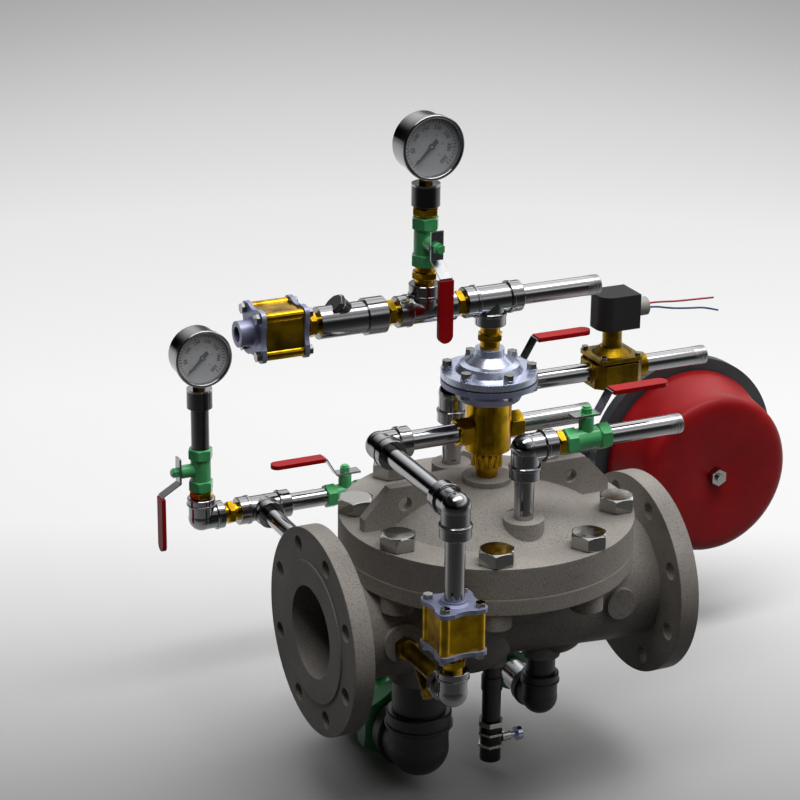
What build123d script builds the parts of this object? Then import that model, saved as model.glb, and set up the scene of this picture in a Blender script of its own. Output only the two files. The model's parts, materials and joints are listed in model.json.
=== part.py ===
"""Four inch deluge valve with its relay, gauges, drains and water motor gong, in millimetres.

The origin is the centre of the inlet flange face. Water runs along +X, the viewer of the trim
stands at -Y, and +Z is up.
"""

import math
import os

from build123d import *

# Pipe flanges and waterway
face_to_face = 415.0
flange_od = 228.6
flange_thickness = 23.9
raised_face_od = 157.2
raised_face_height = 1.6
bolt_circle = 190.5
bolt_hole = 19.0
bolt_count = 8
bore = 101.6
inlet_neck_od = 124.0
outlet_neck_od = 140.0
casting_wall = 9.0

# Body below the cover
cover_od = 322.0
body_flange_bottom = 55.0
body_flange_top = 72.0
bowl_top_radius = 120.0
bowl_waist_radius = 78.0
bowl_waist_height = 6.0
seat_bore = 76.0
seat_height = 18.0
seat_ring_wall = 6.0
seat_ring_od = seat_bore + 2 * seat_ring_wall
seat_ring_depth = 10.0
chamber_radius = 64.0
bulb_x = 185.0
bulb_z = -18.5
bulb_radius = 61.0
side_bulge_x = 298.0
side_bulge_z = -44.0
side_bulge_radius = 36.0
cover_boss_radius = 18.0
cover_boss_drop = 19.0
port_reach = 65.0
port_boss_radius = 22.5
plug_inset = 75.0
plug_boss_radius = 18.0

# Cover
gasket_thickness = 1.6
cover_rim_height = 34.0
cover_bolt_edge = 19.0
cover_bolt_circle = cover_od - 2 * cover_bolt_edge
cover_bolt_count = 8
cover_bolt_across_flats = 36.0
cover_bolt_head = 16.0
cover_bolt_shank = 24.0
cover_bolt_reach = 44.0
shank_clearance = 1.0
dome_foot_radius = 116.0
dome_rise = 36.0
collar_radius = 27.0
collar_rise = 4.5
line_boss_offset = 86.5
line_boss_radius = 22.0
line_boss_rise = 24.0
lug_thickness = 12.0
lug_rise = 45.5
lug_inner = 56.0
lug_shoulder = 118.0
lug_outer = 148.0
lug_outer_rise = 14.0
lug_hole_offset = 100.0
lug_hole_rise = 25.0
lug_hole = 15.5

# Piston in the cover
cylinder_bore = 120.0
cylinder_wall = 8.0
cylinder_drop = 18.0
spring_packed = 26.0
piston_gap = 0.3
piston_thickness = 14.0
piston_lift = 20.0
seat_disc_thickness = 10.0
stem_radius = 11.0
spring_wire = 5.0
spring_radius = 34.0
spring_turns = 3

# Pressure-operated relay
relay_foot = 26.0
relay_barrel_od = 50.0
relay_barrel = 64.0
relay_port_rise = 54.0
relay_port_reach = 38.5
relay_port_across_flats = 28.0
relay_port_hex = 17.0
relay_bowl_od = 76.0
relay_flange_od = 104.0
relay_bowl = 16.0
relay_flange = 6.0
relay_diaphragm = 2.0
relay_bonnet_flange = 7.0
relay_dome = 17.0
relay_collar = 8.0
relay_bolt_circle = 90.0
relay_bolt_count = 6
relay_chamber = 30.0
relay_lift = 5.0
crown_teeth = 12

# Half inch trim pipe and fittings
pipe_od = 21.3
pipe_bore = 15.8
elbow_reach = 33.0
short_elbow_reach = 26.0
elbow_od = 30.4
corner_swell = 0.5
band_od = 35.0
band_width = 15.0
short_band_width = 10.0
bead_share = 0.24
skirt_share = 0.955
tee_half_run = 33.0
tee_branch = 28.0
nipple_across_flats = 25.0
nipple_shank_od = 21.0
nipple_hex = 8.0
nipple_long = 15.0
nipple_short = 12.0
nut_face = 0.95
nut_corner = 1.1
nut_slope = 0.5

# Square check valves
check_side = 50.6
check_body = 42.0
check_plate = 5.0
check_column = 5.5
check_recess = 2.5
check_lip = 2.0
check_bite = 3.0
check_waist = 12.0
check_flare = 2.5
check_screw = 6.0
check_port_od = 27.0
check_port_short = 4.0
check_port_long = 17.0
check_chamber = 34.0
check_seat = 16.0
poppet_lift = 6.0
poppet_disc = 4.0
poppet_lap = 4.0
poppet_stem = 7.0

# Y-pattern check valve
y_check_length = 74.0
y_check_od = 34.0
y_branch_from_end = 38.0
y_check_mouth = 21.6
y_check_mouth_od = 39.0
y_branch_length = 26.0
y_branch_across_flats = 24.0
y_disc_lift = 5.0
y_disc = 4.0
y_disc_seat = 9.0
y_branch_bore = 18.0
y_branch_hex = 6.0

# Strainer
strainer_od = 17.5
strainer_bore = 12.0
strainer_hex = 12.0
strainer_across_flats = 22.0
strainer_branch_length = 34.0
strainer_branch_od = 13.0
strainer_cap = 9.0
strainer_cap_across_flats = 14.0
screen_od = 8.0

# Ball valves on the half inch trim
valve_length = 53.0
valve_hex = 13.0
valve_barrel_od = 24.0
valve_tower_od = 16.0
valve_tower = 26.0
valve_stem_od = 8.0
valve_ball_od = 17.0
lever_width = 14.0
lever_thickness = 2.4
lever_tail = 18.0
lever_first_bend = 13.0
lever_second_bend = 26.0
lever_rise = 22.0
lever_length = 96.0
lever_nut_across_flats = 11.0
lever_nut = 6.0
grip_width = 16.5
grip_thickness = 5.0
stem_gap = 0.08
ball_gap = 0.3
lever_gap = 0.4

# Heights and places of the trim lines
air_line_height = 348.0
riser_inset = 80.0
riser_offset = 181.0
riser_foot_height = -3.5
release_height = 210.0
solenoid_height = 213.0
alarm_offset = 340.0
alarm_height = 0.0
alarm_tee_inset = 84.0
alarm_elbow_inset = 6.0
relay_outlet_length = 84.5
air_supply_length = 95.0
release_outlet_length = 88.0
solenoid_outlet_length = 80.0
alarm_valve_pipe = 47.5
column_nipple = 51.0
valve_to_solenoid = 68.5
upper_column_gap = 19.0
lower_column_gap = 9.0
socket_od = 30.0
socket_length = 23.5

# Pressure gauges
gauge_bezel_radius = 34.2
gauge_case_radius = 32.0
gauge_depth = 31.0
gauge_front = 17.0
gauge_rise = 40.7
gauge_glass_radius = 31.0
gauge_glass = 1.5
gauge_dial = 1.0
gauge_dial_depth = 7.0
gauge_stem_across_flats = 14.0
pointer_length = 24.0
pointer_tail = 9.0
pointer_width = 2.6
pointer_thickness = 0.8
pointer_pin = 2.0

# Solenoid valve
solenoid_length = 72.6
solenoid_half_height = 15.0
solenoid_mouth_radius = 13.8
solenoid_bonnet_inset = 31.0
solenoid_block_length = 60.0
solenoid_block_width = 54.0
solenoid_block_chamfer = 10.0
solenoid_joint = 2.5
solenoid_joint_radius = 20.0
solenoid_bonnet = 5.0
solenoid_bonnet_rise = 8.0
solenoid_screw_offset = 22.0
solenoid_ear = 5.0
solenoid_screw_head = 3.6
solenoid_screw_shank = 1.8
solenoid_screw_depth = 6.0
solenoid_neck_radius = 11.0
solenoid_neck_top = 51.0
coil_length = 48.0
coil_width = 40.0
coil_height = 40.0
coil_rounding = 15.0
gland_radius = 10.5
gland_length = 18.0
gland_rise = 18.5
core_radius = 5.0
core_tube_radius = 8.0
core_tube_top = 34.0
core_lift = 4.0
lead_od = 2.2
lead_spacing = 5.0
red_route = [(0, 0, 0), (14, 0, 0), (38, 0, -2.6), (64, -1, -3.2), (88, -2, -3.8)]
blue_route = [(0, 0, 0), (12, 0, 0), (34, 0, -5.4), (60, -1, -8.2), (78, -1, -9.6), (95, -2, -15)]

# Water motor and gong
gong_x = 633.0
bell_radius = 112.0
bell_front_offset = 209.0
bell_rim_offset = 280.0
bell_wall = 3.0
bell_face_radius = 80.0
bell_face_rise = 4.0
bell_edge_rounding = 8.0
bell_step_radius = 87.0
bell_step = 16.0
bell_step_rounding = 5.0
bell_ridge_radius = 98.0
bell_ridge = 19.0
bell_ridge_rounding = 7.0
plate_radius = 127.5
plate_offset = 285.0
plate_thickness = 5.0
plate_rim = 10.0
motor_radius = 46.0
motor_thickness = 44.0
motor_neck_radius = 20.0
gong_bolt_radius = 5.0
sleeve_radius = 9.0
motor_wall = 8.0
motor_outlet = 12.0
motor_inlet_length = 8.0
impeller_radius = 34.0
impeller_blades = 6
striker_offset = 250.0
striker_reach = 84.0
striker_radius = 8.0
gong_nut_across_flats = 19.0
gong_nut = 10.0

# Drains
main_boss_bottom = 77.0
side_boss_bottom = 80.0
drip_boss_bottom = 80.0
drain_boss_wall = 5.0
pipe_wall = 3.0
main_drain_inset = 130.0
main_drain_drop = 163.0
main_pipe_od = 60.3
main_elbow_od = 67.0
main_band_od = 76.0
main_band_width = 20.0
main_elbow_reach = 46.0
main_valve_length = 104.0
main_valve_across_flats = 80.0
main_union = 8.0
main_union_od = 68.0
main_handle_scale = 1.35
main_tower = 22.0
side_drain_inset = 281.0
side_drain_drop = 133.0
side_pipe_od = 33.4
side_elbow_od = 39.5
side_band_od = 44.0
side_band_width = 12.0
side_elbow_reach = 31.0
side_union = 40.0
side_union_od = 33.4
side_handle_scale = 1.0
side_tower = 16.0
side_valve_length = 74.0
side_valve_across_flats = 46.0
drain_hex_share = 0.24
drain_barrel_share = 0.92
union_wall = 4.0

# Ball drip valve
drip_inset = 220.0
drip_coupling_od = 24.0
drip_coupling_bottom = 112.0
drip_coupling = 17.0
drip_top = 150.0
drip_length = 49.0
drip_od = 26.0
drip_knob_height = 175.0
drip_knob_radius = 8.0
drip_knob = 6.0
drip_knob_reach = 38.0
drip_rod_radius = 3.0
drip_socket_reach = 24.0
drip_ball_radius = 6.0
drip_outlet_radius = 4.5
drip_side_gap = 2.5
drip_lift = 3.0
drip_push = 4.0

# Values that follow from the ones above
mid_x = face_to_face / 2
cover_bottom = body_flange_top + gasket_thickness
cover_top = cover_bottom + cover_rim_height
dome_radius = (dome_foot_radius**2 + dome_rise**2) / (2 * dome_rise)
dome_centre = cover_top + dome_rise - dome_radius
collar_top = cover_top + dome_rise + collar_rise
piston_top = cover_bottom - cylinder_drop + piston_thickness + piston_gap
cylinder_roof = piston_top + piston_lift + spring_packed
drain_outlets = (
    (main_drain_inset, main_boss_bottom, main_pipe_od),
    (side_drain_inset, side_boss_bottom, side_pipe_od),
    (drip_inset, drip_boss_bottom, pipe_od),
)
main_sizes = {
    "elbow": (
        main_drain_inset,
        main_drain_drop,
        (main_elbow_reach, main_elbow_od, main_band_od, main_band_width),
        main_pipe_od,
        -main_boss_bottom,
    ),
    "union": main_union,
    "union_od": main_union_od,
    "pipe": main_pipe_od,
    "valve": main_valve_length,
    "across_flats": main_valve_across_flats,
}
side_sizes = {
    "elbow": (
        side_drain_inset,
        side_drain_drop,
        (side_elbow_reach, side_elbow_od, side_band_od, side_band_width),
        side_pipe_od,
        -side_boss_bottom,
    ),
    "union": side_union,
    "union_od": side_union_od,
    "pipe": side_pipe_od,
    "valve": side_valve_length,
    "across_flats": side_valve_across_flats,
}
x_way, y_way, z_way = Vector(1, 0, 0), Vector(0, 1, 0), Vector(0, 0, 1)


def dome_height(radius):
    """Height of the cover's dome at a distance from the cover's centre."""
    return dome_centre + math.sqrt(dome_radius**2 - radius**2)


def rod(start, way, length, radius):
    """Round bar that starts at a point and runs one way."""
    return extrude(Plane(origin=start, z_dir=way) * Circle(radius), amount=length)


def tube(start, way, length, outer, inner):
    """Round tube that starts at a point and runs one way."""
    ring = Circle(outer) - Circle(inner)
    return extrude(Plane(origin=start, z_dir=way) * ring, amount=length)


def hexagon(start, way, length, across_flats):
    """Hexagon bar that starts at a point and runs one way."""
    outline = RegularPolygon(across_flats / 2, 6, major_radius=False)
    return extrude(Plane(origin=start, z_dir=way) * outline, amount=length)


def lathe(axis_point, way, profile):
    """Body of revolution from points of distance along the way and radius."""
    side = x_way if abs(way.dot(x_way)) < 0.5 else y_way
    plane = Plane(origin=axis_point, x_dir=way, z_dir=way.cross(side))
    face = plane * make_face(Polyline([(along, radius) for along, radius in profile], close=True))
    return revolve(face, Axis(axis_point, way))


def ring_places(count, circle, start=0.5):
    """Points of a bolt circle, the first one a share of a step past the first axis."""
    for k in range(count):
        angle = 2 * math.pi * (k + start) / count
        yield circle / 2 * math.cos(angle), circle / 2 * math.sin(angle)


def nut(start, way, length, across_flats):
    """Hexagon bar with its corners turned off at both ends."""
    end = across_flats / 2 * nut_face
    corner = across_flats / math.sqrt(3) * nut_corner
    slope = (corner - end) * nut_slope
    turned = [(0, 0), (0, end), (slope, corner), (length - slope, corner), (length, end), (length, 0)]
    return hexagon(start, way, length, across_flats) & lathe(start, way, turned)


def mouth_band(mouth, way, length, outer):
    """Band round a fitting's mouth, a skirt with a bead behind it; way points into the fitting."""
    radius = outer / 2
    skirt = radius * skirt_share
    edge = radius - skirt
    bead = length * (1 - bead_share)
    profile = [
        (0, 0),
        (0, skirt - edge),
        (edge, skirt),
        (bead, skirt),
        (bead, radius),
        (length - edge, radius),
        (length, skirt),
        (length, 0),
    ]
    return lathe(mouth, way, profile)


def elbow(corner, first, second, reach, outer, band, band_length):
    """Ninety degree elbow with a ball at its corner and a band at each mouth."""
    corner = Vector(corner)
    solid = Pos(*corner) * Sphere(outer / 2 + corner_swell)
    for way in (first, second):
        solid += rod(corner, way, reach, outer / 2)
        solid += mouth_band(corner + way * reach, -way, band_length, band)
    return solid


def trim_elbow(corner, first, second, reach=elbow_reach, band_length=band_width):
    """Half inch elbow."""
    return elbow(corner, first, second, reach, elbow_od, band_od, band_length)


def tee(centre, run, branch):
    """Half inch tee with a band at each of its three mouths."""
    centre = Vector(centre)
    solid = rod(centre - run * tee_half_run, run, 2 * tee_half_run, elbow_od / 2)
    solid += rod(centre, branch, tee_branch, elbow_od / 2)
    for way, reach in ((run, tee_half_run), (-run, tee_half_run), (branch, tee_branch)):
        solid += mouth_band(centre + way * reach, -way, band_width, band_od)
    return solid


def pipe(start, way, length):
    """Half inch pipe, open right through."""
    return tube(Vector(start), way, length, pipe_od / 2, pipe_bore / 2)


def nipple(start, way, length):
    """Brass nipple between two fittings, a round shank with a hexagon at its middle."""
    start = Vector(start)
    foot = start + way * ((length - nipple_hex) / 2)
    return rod(start, way, length, nipple_shank_od / 2) + nut(foot, way, nipple_hex, nipple_across_flats)


def group(solids):
    """Separate solids kept together in one node."""
    return Compound(children=list(solids))


class Handle:
    """Sizes of one ball valve's handle, in the valve's own frame: stem up Z, lever along X."""

    def __init__(self, scale, tower, flat=False):
        self.stem_radius = valve_stem_od / 2 * scale
        self.ball_radius = valve_ball_od / 2 * scale
        self.tower = tower
        self.width = lever_width * scale
        self.thickness = lever_thickness * scale
        self.grip_width = grip_width * scale
        self.grip_thickness = grip_thickness * scale
        self.tail = lever_tail * scale
        self.first_bend = lever_first_bend * scale
        self.second_bend = lever_second_bend * scale
        self.length = lever_length * scale
        self.rise = 0 if flat else lever_rise * scale
        self.nut = lever_nut * scale
        self.nut_across_flats = lever_nut_across_flats * scale


def valve_frame(centre, stem, lever):
    """Location of a ball valve: stem along Z and lever along X at the ball's centre."""
    return Plane(origin=Vector(centre), x_dir=lever, z_dir=stem).location


def ball_valve_body(centre, run, stem, length, across_flats, hex_length, barrel_od, handle):
    """Ball valve body: two hexagon mouths, a round barrel and the stem's tower."""
    centre = Vector(centre)
    start = centre - run * (length / 2)
    solid = rod(start + run * (hex_length / 2), run, length - hex_length, barrel_od / 2)
    solid += nut(start, run, hex_length, across_flats)
    solid += nut(centre + run * (length / 2 - hex_length), run, hex_length, across_flats)
    solid += rod(centre, stem, handle.tower, valve_tower_od / valve_stem_od * handle.stem_radius)
    solid -= Pos(*centre) * Sphere(handle.ball_radius + ball_gap)
    solid -= rod(centre, stem, handle.tower, handle.stem_radius + stem_gap)
    return solid


def valve_stem(handle):
    """Ball, stem and lever nut."""
    top = handle.tower + lever_gap + handle.thickness + handle.nut
    solid = Sphere(handle.ball_radius)
    solid += rod(Vector(0, 0, 0), z_way, top + handle.stem_radius / 2, handle.stem_radius)
    nut_foot = Vector(0, 0, top - handle.nut)
    return solid + hexagon(nut_foot, z_way, handle.nut, handle.nut_across_flats)


def lever_plate(handle):
    """Cranked steel strip with a round hole for the stem."""
    low = handle.tower + lever_gap
    high = low + handle.rise
    thick = handle.thickness
    side = Polyline(
        (-handle.tail, low),
        (handle.first_bend, low),
        (handle.second_bend, high),
        (handle.length - handle.width / 2, high),
        (handle.length - handle.width / 2, high + thick),
        (handle.second_bend, high + thick),
        (handle.first_bend, low + thick),
        (-handle.tail, low + thick),
        close=True,
    )
    strip = extrude(Plane.XZ * make_face(side), amount=handle.width / 2, both=True)
    return strip - rod(Vector(0, 0, low), z_way, thick, handle.stem_radius)


def lever_grip(handle):
    """Dipped sleeve with a rounded end over the outer part of the lever."""
    middle = handle.tower + lever_gap + handle.rise + handle.thickness / 2
    start = handle.second_bend + handle.thickness
    straight = handle.length - handle.grip_width / 2 - start
    outline = Pos(start + straight / 2, 0) * Rectangle(straight, handle.grip_width)
    outline += Pos(start + straight, 0) * Circle(handle.grip_width / 2)
    low = Plane(origin=(0, 0, middle - handle.grip_thickness / 2))
    solid = extrude(low * outline, amount=handle.grip_thickness)
    return solid - lever_plate(handle)


def handle_nodes(name, centre, stem, lever, handle):
    """The two nodes of one valve handle: stem with lever, and grip."""
    frame = valve_frame(centre, stem, lever)
    metal = group([frame * valve_stem(handle), frame * lever_plate(handle)])
    return {f"{name}_lever": metal, f"{name}_grip": frame * lever_grip(handle)}


def pipe_flange(face_x, way):
    """Raised-face pipe flange with its bolt holes; way points from its face to the body."""
    face = Vector(face_x, 0, 0)
    solid = rod(face, way, raised_face_height + casting_wall, raised_face_od / 2)
    disc = face + way * raised_face_height
    solid += rod(disc, way, flange_thickness - raised_face_height, flange_od / 2)
    for y, z in ring_places(bolt_count, bolt_circle):
        solid -= rod(Vector(face_x, y, z), way, flange_thickness, bolt_hole / 2)
    return solid


def valve_body():
    """Body casting: flanges, necks, bowl, lower bulbs and bosses, hollowed by the waterway.

    It comes as three solids, parted behind each pipe flange, where they meet face to face.
    """
    centre = Vector(mid_x, 0, 0)
    neck = inlet_neck_od / 2
    solid = pipe_flange(0, x_way) + pipe_flange(face_to_face, -x_way)
    back = flange_thickness / 2
    solid += rod(Vector(back, 0, 0), x_way, mid_x - back, neck)
    outlet = [
        (0, 0),
        (0, outlet_neck_od / 2),
        (flange_thickness * 2.2, outlet_neck_od / 2),
        (mid_x - back, neck),
        (mid_x - back, 0),
    ]
    solid += lathe(Vector(face_to_face - back, 0, 0), -x_way, outlet)
    bowl = [
        (body_flange_top, 0),
        (body_flange_top, cover_od / 2),
        (body_flange_bottom, cover_od / 2),
        (body_flange_bottom, bowl_top_radius),
        ((body_flange_bottom + bowl_waist_height) / 2, (bowl_top_radius + bowl_waist_radius) / 2 + 6),
        (bowl_waist_height, bowl_waist_radius),
        (-bowl_waist_height, 0),
    ]
    solid += lathe(centre, z_way, bowl)
    solid += Pos(bulb_x, 0, bulb_z) * Sphere(bulb_radius)
    solid += Pos(side_bulge_x, 0, side_bulge_z) * Sphere(side_bulge_radius)
    for x, y in ring_places(cover_bolt_count, cover_bolt_circle):
        foot = Vector(mid_x + x, y, body_flange_bottom - cover_boss_drop)
        solid += rod(foot, z_way, cover_boss_drop + 1, cover_boss_radius)
    for side, inset in ((-1, riser_inset), (1, alarm_tee_inset)):
        solid += rod(Vector(inset, 0, 0), y_way * side, port_reach, port_boss_radius)
    plug_foot = Vector(face_to_face - plug_inset, 0, 0)
    solid += rod(plug_foot, -y_way, port_reach + casting_wall, plug_boss_radius)
    for inset, bottom, od in drain_outlets:
        solid += rod(Vector(inset, 0, -bottom), z_way, bottom / 2, od / 2 + drain_boss_wall)
    solid -= body_waterway()
    for x, y in ring_places(cover_bolt_count, cover_bolt_circle):
        hole = Vector(mid_x + x, y, cover_top - cover_bolt_reach - cover_rim_height)
        solid -= rod(hole, z_way, 2 * cover_bolt_reach, cover_bolt_shank / 2)
    for inset, bottom, od in drain_outlets:
        solid -= rod(Vector(inset, 0, -bottom), z_way, bottom * 0.65, od / 2 - pipe_wall)
    parts = []
    for face_x, way in ((0, x_way), (face_to_face, -x_way)):
        slab = rod(Vector(face_x, 0, 0), way, flange_thickness, flange_od)
        parts.append(solid & slab)
        solid -= slab
    return group([*parts, solid])


def body_waterway():
    """Space that the water fills: inlet, lower chamber, seat, upper chamber and outlet."""
    radius = bore / 2
    roof = seat_height - seat_ring_depth - 4
    inlet_end = bulb_x - bulb_radius * 0.57
    inlet = rod(Vector(-1, 0, 0), x_way, flange_thickness + 1, radius)
    mouth = Plane(origin=(flange_thickness, 0, 0), x_dir=y_way, z_dir=x_way)
    throat = Plane(origin=(inlet_end, 0, -radius / 2), x_dir=y_way, z_dir=x_way)
    oval = Ellipse(bulb_radius * 0.69, bulb_radius * 0.46)
    inlet += loft([mouth * Circle(radius), throat * oval])
    lower = Pos(bulb_x + 3, 0, bulb_z - 1.5) * Sphere(bulb_radius - casting_wall - 3)
    lower -= Pos(bulb_x, 0, roof + bulb_radius) * Box(4 * bulb_radius, 4 * bulb_radius, 2 * bulb_radius)
    seat_way = rod(Vector(mid_x, 0, bulb_z), z_way, seat_height - bulb_z, seat_bore / 2)
    recess = rod(Vector(mid_x, 0, seat_height - seat_ring_depth), z_way, seat_ring_depth, seat_ring_od / 2)
    upper_floor = seat_height - 3
    upper = rod(Vector(mid_x, 0, upper_floor), z_way, body_flange_top - upper_floor + 1, chamber_radius)
    mouth_radius = cylinder_bore / 2 + cylinder_wall + 8
    upper += lathe(
        Vector(mid_x, 0, 0),
        z_way,
        [
            (body_flange_top + 1, 0),
            (body_flange_top + 1, mouth_radius),
            (body_flange_top - cylinder_drop - 8, mouth_radius),
            (body_flange_top - cylinder_drop - 18, 0),
        ],
    )
    wall_x = mid_x + seat_bore / 2 + casting_wall
    outlet = rod(Vector(wall_x, 0, 0), x_way, face_to_face - wall_x + 1, radius)
    return inlet + lower + seat_way + recess + upper + outlet


def valve_cover():
    """Cover casting: rim, dome, collar, two line bosses, two lifting lugs and the cylinder."""
    centre = Vector(mid_x, 0, 0)
    rim = rod(Vector(mid_x, 0, cover_bottom), z_way, cover_rim_height, cover_od / 2)
    ball = Pos(mid_x, 0, dome_centre) * Sphere(dome_radius)
    keep = Pos(mid_x, 0, cover_top + dome_rise) * Box(cover_od, cover_od, 2 * dome_rise)
    solid = rim + (ball & keep)
    solid += rod(Vector(mid_x, 0, cover_top), z_way, collar_top - cover_top, collar_radius)
    for side in (-1, 1):
        boss = Vector(mid_x, side * line_boss_offset, cover_top)
        solid += rod(boss, z_way, line_boss_rise, line_boss_radius)
        solid -= rod(boss + z_way * line_boss_rise, z_way, dome_rise, line_boss_radius)
        solid -= rod(boss - z_way * casting_wall, z_way, 2 * line_boss_rise, pipe_bore / 2)
    for side in (-1, 1):
        outline = Polyline(
            (side * lug_inner, dome_height(lug_inner) - 6),
            (side * (lug_inner + 14), cover_top + lug_rise),
            (side * lug_shoulder, cover_top + lug_rise),
            (side * lug_outer, cover_top + lug_outer_rise),
            (side * lug_outer, cover_top - 1),
            (side * lug_inner, cover_top - 1),
            close=True,
        )
        lug = extrude(Plane.XZ * make_face(outline), amount=lug_thickness / 2, both=True)
        hole = Vector(side * lug_hole_offset, -lug_thickness, cover_top + lug_hole_rise)
        lug -= rod(hole, y_way, 2 * lug_thickness, lug_hole / 2)
        solid += Pos(*centre) * lug
    skirt = Vector(mid_x, 0, cover_bottom - cylinder_drop)
    solid += rod(skirt, z_way, cylinder_drop + 1, cylinder_bore / 2 + cylinder_wall)
    solid -= rod(skirt, z_way, cylinder_roof - skirt.Z, cylinder_bore / 2)
    for x, y in ring_places(cover_bolt_count, cover_bolt_circle):
        hole = Vector(mid_x + x, y, cover_bottom)
        solid -= rod(hole, z_way, cover_rim_height, cover_bolt_shank / 2 + shank_clearance)
    foot = Vector(mid_x, 0, collar_top - relay_foot)
    return solid - rod(foot, z_way, relay_foot, pipe_bore / 2)


def cover_gasket():
    """Flat ring between the body and the cover."""
    inner = cylinder_bore / 2 + cylinder_wall + 8
    foot = Vector(mid_x, 0, body_flange_top)
    solid = tube(foot, z_way, gasket_thickness, cover_od / 2, inner)
    for x, y in ring_places(cover_bolt_count, cover_bolt_circle):
        hole = Vector(mid_x + x, y, body_flange_top)
        solid -= rod(hole, z_way, gasket_thickness, cover_bolt_shank / 2 + shank_clearance)
    return solid


def cover_bolts():
    """Large hexagon bolts that hold the cover."""
    bolts = []
    for x, y in ring_places(cover_bolt_count, cover_bolt_circle):
        head = Vector(mid_x + x, y, cover_top)
        bolt = nut(head, z_way, cover_bolt_head, cover_bolt_across_flats)
        reach = cover_bolt_reach + gasket_thickness
        bolts.append(bolt + rod(head - z_way * reach, z_way, reach, cover_bolt_shank / 2))
    return group(bolts)


def seat_ring():
    """Bronze seat in the floor of the upper chamber."""
    foot = Vector(mid_x, 0, seat_height - seat_ring_depth)
    return tube(foot, z_way, seat_ring_depth, seat_ring_od / 2, seat_bore / 2)


def main_piston():
    """Piston with its stem and the disc that closes the seat."""
    low = seat_height + piston_gap
    profile = [
        (low, 0),
        (low, seat_ring_od / 2),
        (low + seat_disc_thickness, seat_ring_od / 2),
        (low + seat_disc_thickness, stem_radius),
        (piston_top - piston_thickness, stem_radius),
        (piston_top - piston_thickness, cylinder_bore / 2 - piston_gap),
        (piston_top, cylinder_bore / 2 - piston_gap),
        (piston_top, 0),
    ]
    return lathe(Vector(mid_x, 0, 0), z_way, profile)


def main_spring():
    """Return spring between the piston and the cylinder's roof."""
    height = cylinder_roof - piston_top - spring_wire - 2 * piston_gap
    path = Helix(height / spring_turns, height, spring_radius)
    start = Plane(origin=path @ 0, z_dir=path % 0)
    coil = sweep(start * RegularPolygon(spring_wire / 2, 6), path=path, is_frenet=True)
    return Pos(mid_x, 0, piston_top + piston_gap + spring_wire / 2) * coil


def relay_levels():
    """Heights of the relay's joints, from its foot on the collar upwards."""
    foot = collar_top
    barrel = foot + relay_foot
    bowl = barrel + relay_barrel
    flange = bowl + relay_bowl
    diaphragm = flange + relay_flange
    bonnet = diaphragm + relay_diaphragm
    dome = bonnet + relay_bonnet_flange
    collar = dome + relay_dome
    return foot, barrel, bowl, flange, diaphragm, bonnet, dome, collar, collar + relay_collar


def relay_body():
    """Brass relay body with a crown-shaped foot and a hexagon port on each side."""
    foot, barrel, bowl = relay_levels()[:3]
    axis = Vector(mid_x, 0, foot)
    radius = relay_barrel_od / 2
    solid = lathe(
        axis,
        z_way,
        [
            (0, 0),
            (0, radius * 0.46),
            (relay_foot * 0.4, radius * 0.5),
            (relay_foot, radius * 0.62),
            (relay_foot + 6, radius),
            (bowl - foot, radius),
            (bowl - foot, 0),
        ],
    )
    for x, y in ring_places(crown_teeth, radius * 1.16):
        tooth = Vector(mid_x + x, y, foot + relay_foot * 0.45)
        solid += rod(tooth, z_way, relay_foot * 0.5, radius * 0.09)
    port = axis + z_way * relay_port_rise
    for way in (x_way, -x_way):
        foot_of_hex = port + way * (relay_port_reach - relay_port_hex)
        solid += nut(foot_of_hex, way, relay_port_hex, relay_port_across_flats)
        solid += rod(port, way, relay_port_reach, nipple_shank_od / 2)
        solid -= rod(port, way, relay_port_reach, pipe_bore / 2)
    chamber = relay_port_rise - pipe_bore / 2
    solid -= rod(axis + z_way * chamber, z_way, bowl - foot - chamber, radius * 0.6)
    return solid


def relay_bowl_part():
    """Lower bowl of the relay with its bolting flange."""
    foot, barrel, bowl, flange, diaphragm = relay_levels()[:5]
    solid = lathe(
        Vector(mid_x, 0, bowl),
        z_way,
        [
            (0, 0),
            (0, relay_bowl_od / 2 - 4),
            (flange - bowl - 8, relay_bowl_od / 2),
            (flange - bowl, relay_bowl_od / 2),
            (flange - bowl, relay_flange_od / 2),
            (diaphragm - bowl, relay_flange_od / 2),
            (diaphragm - bowl, 0),
        ],
    )
    solid -= rod(Vector(mid_x, 0, flange - 4), z_way, diaphragm - flange + 4, relay_chamber)
    solid -= rod(Vector(mid_x, 0, bowl), z_way, diaphragm - bowl, relay_barrel_od * 0.3)
    return relay_bolt_holes(solid, flange, diaphragm)


def relay_bolt_holes(solid, low, high):
    """Bolt holes of the relay's flange cut through one of its layers."""
    for x, y in ring_places(relay_bolt_count, relay_bolt_circle):
        solid -= rod(Vector(mid_x + x, y, low - 9), z_way, high - low + 9, check_screw / 2)
    return solid


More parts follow.
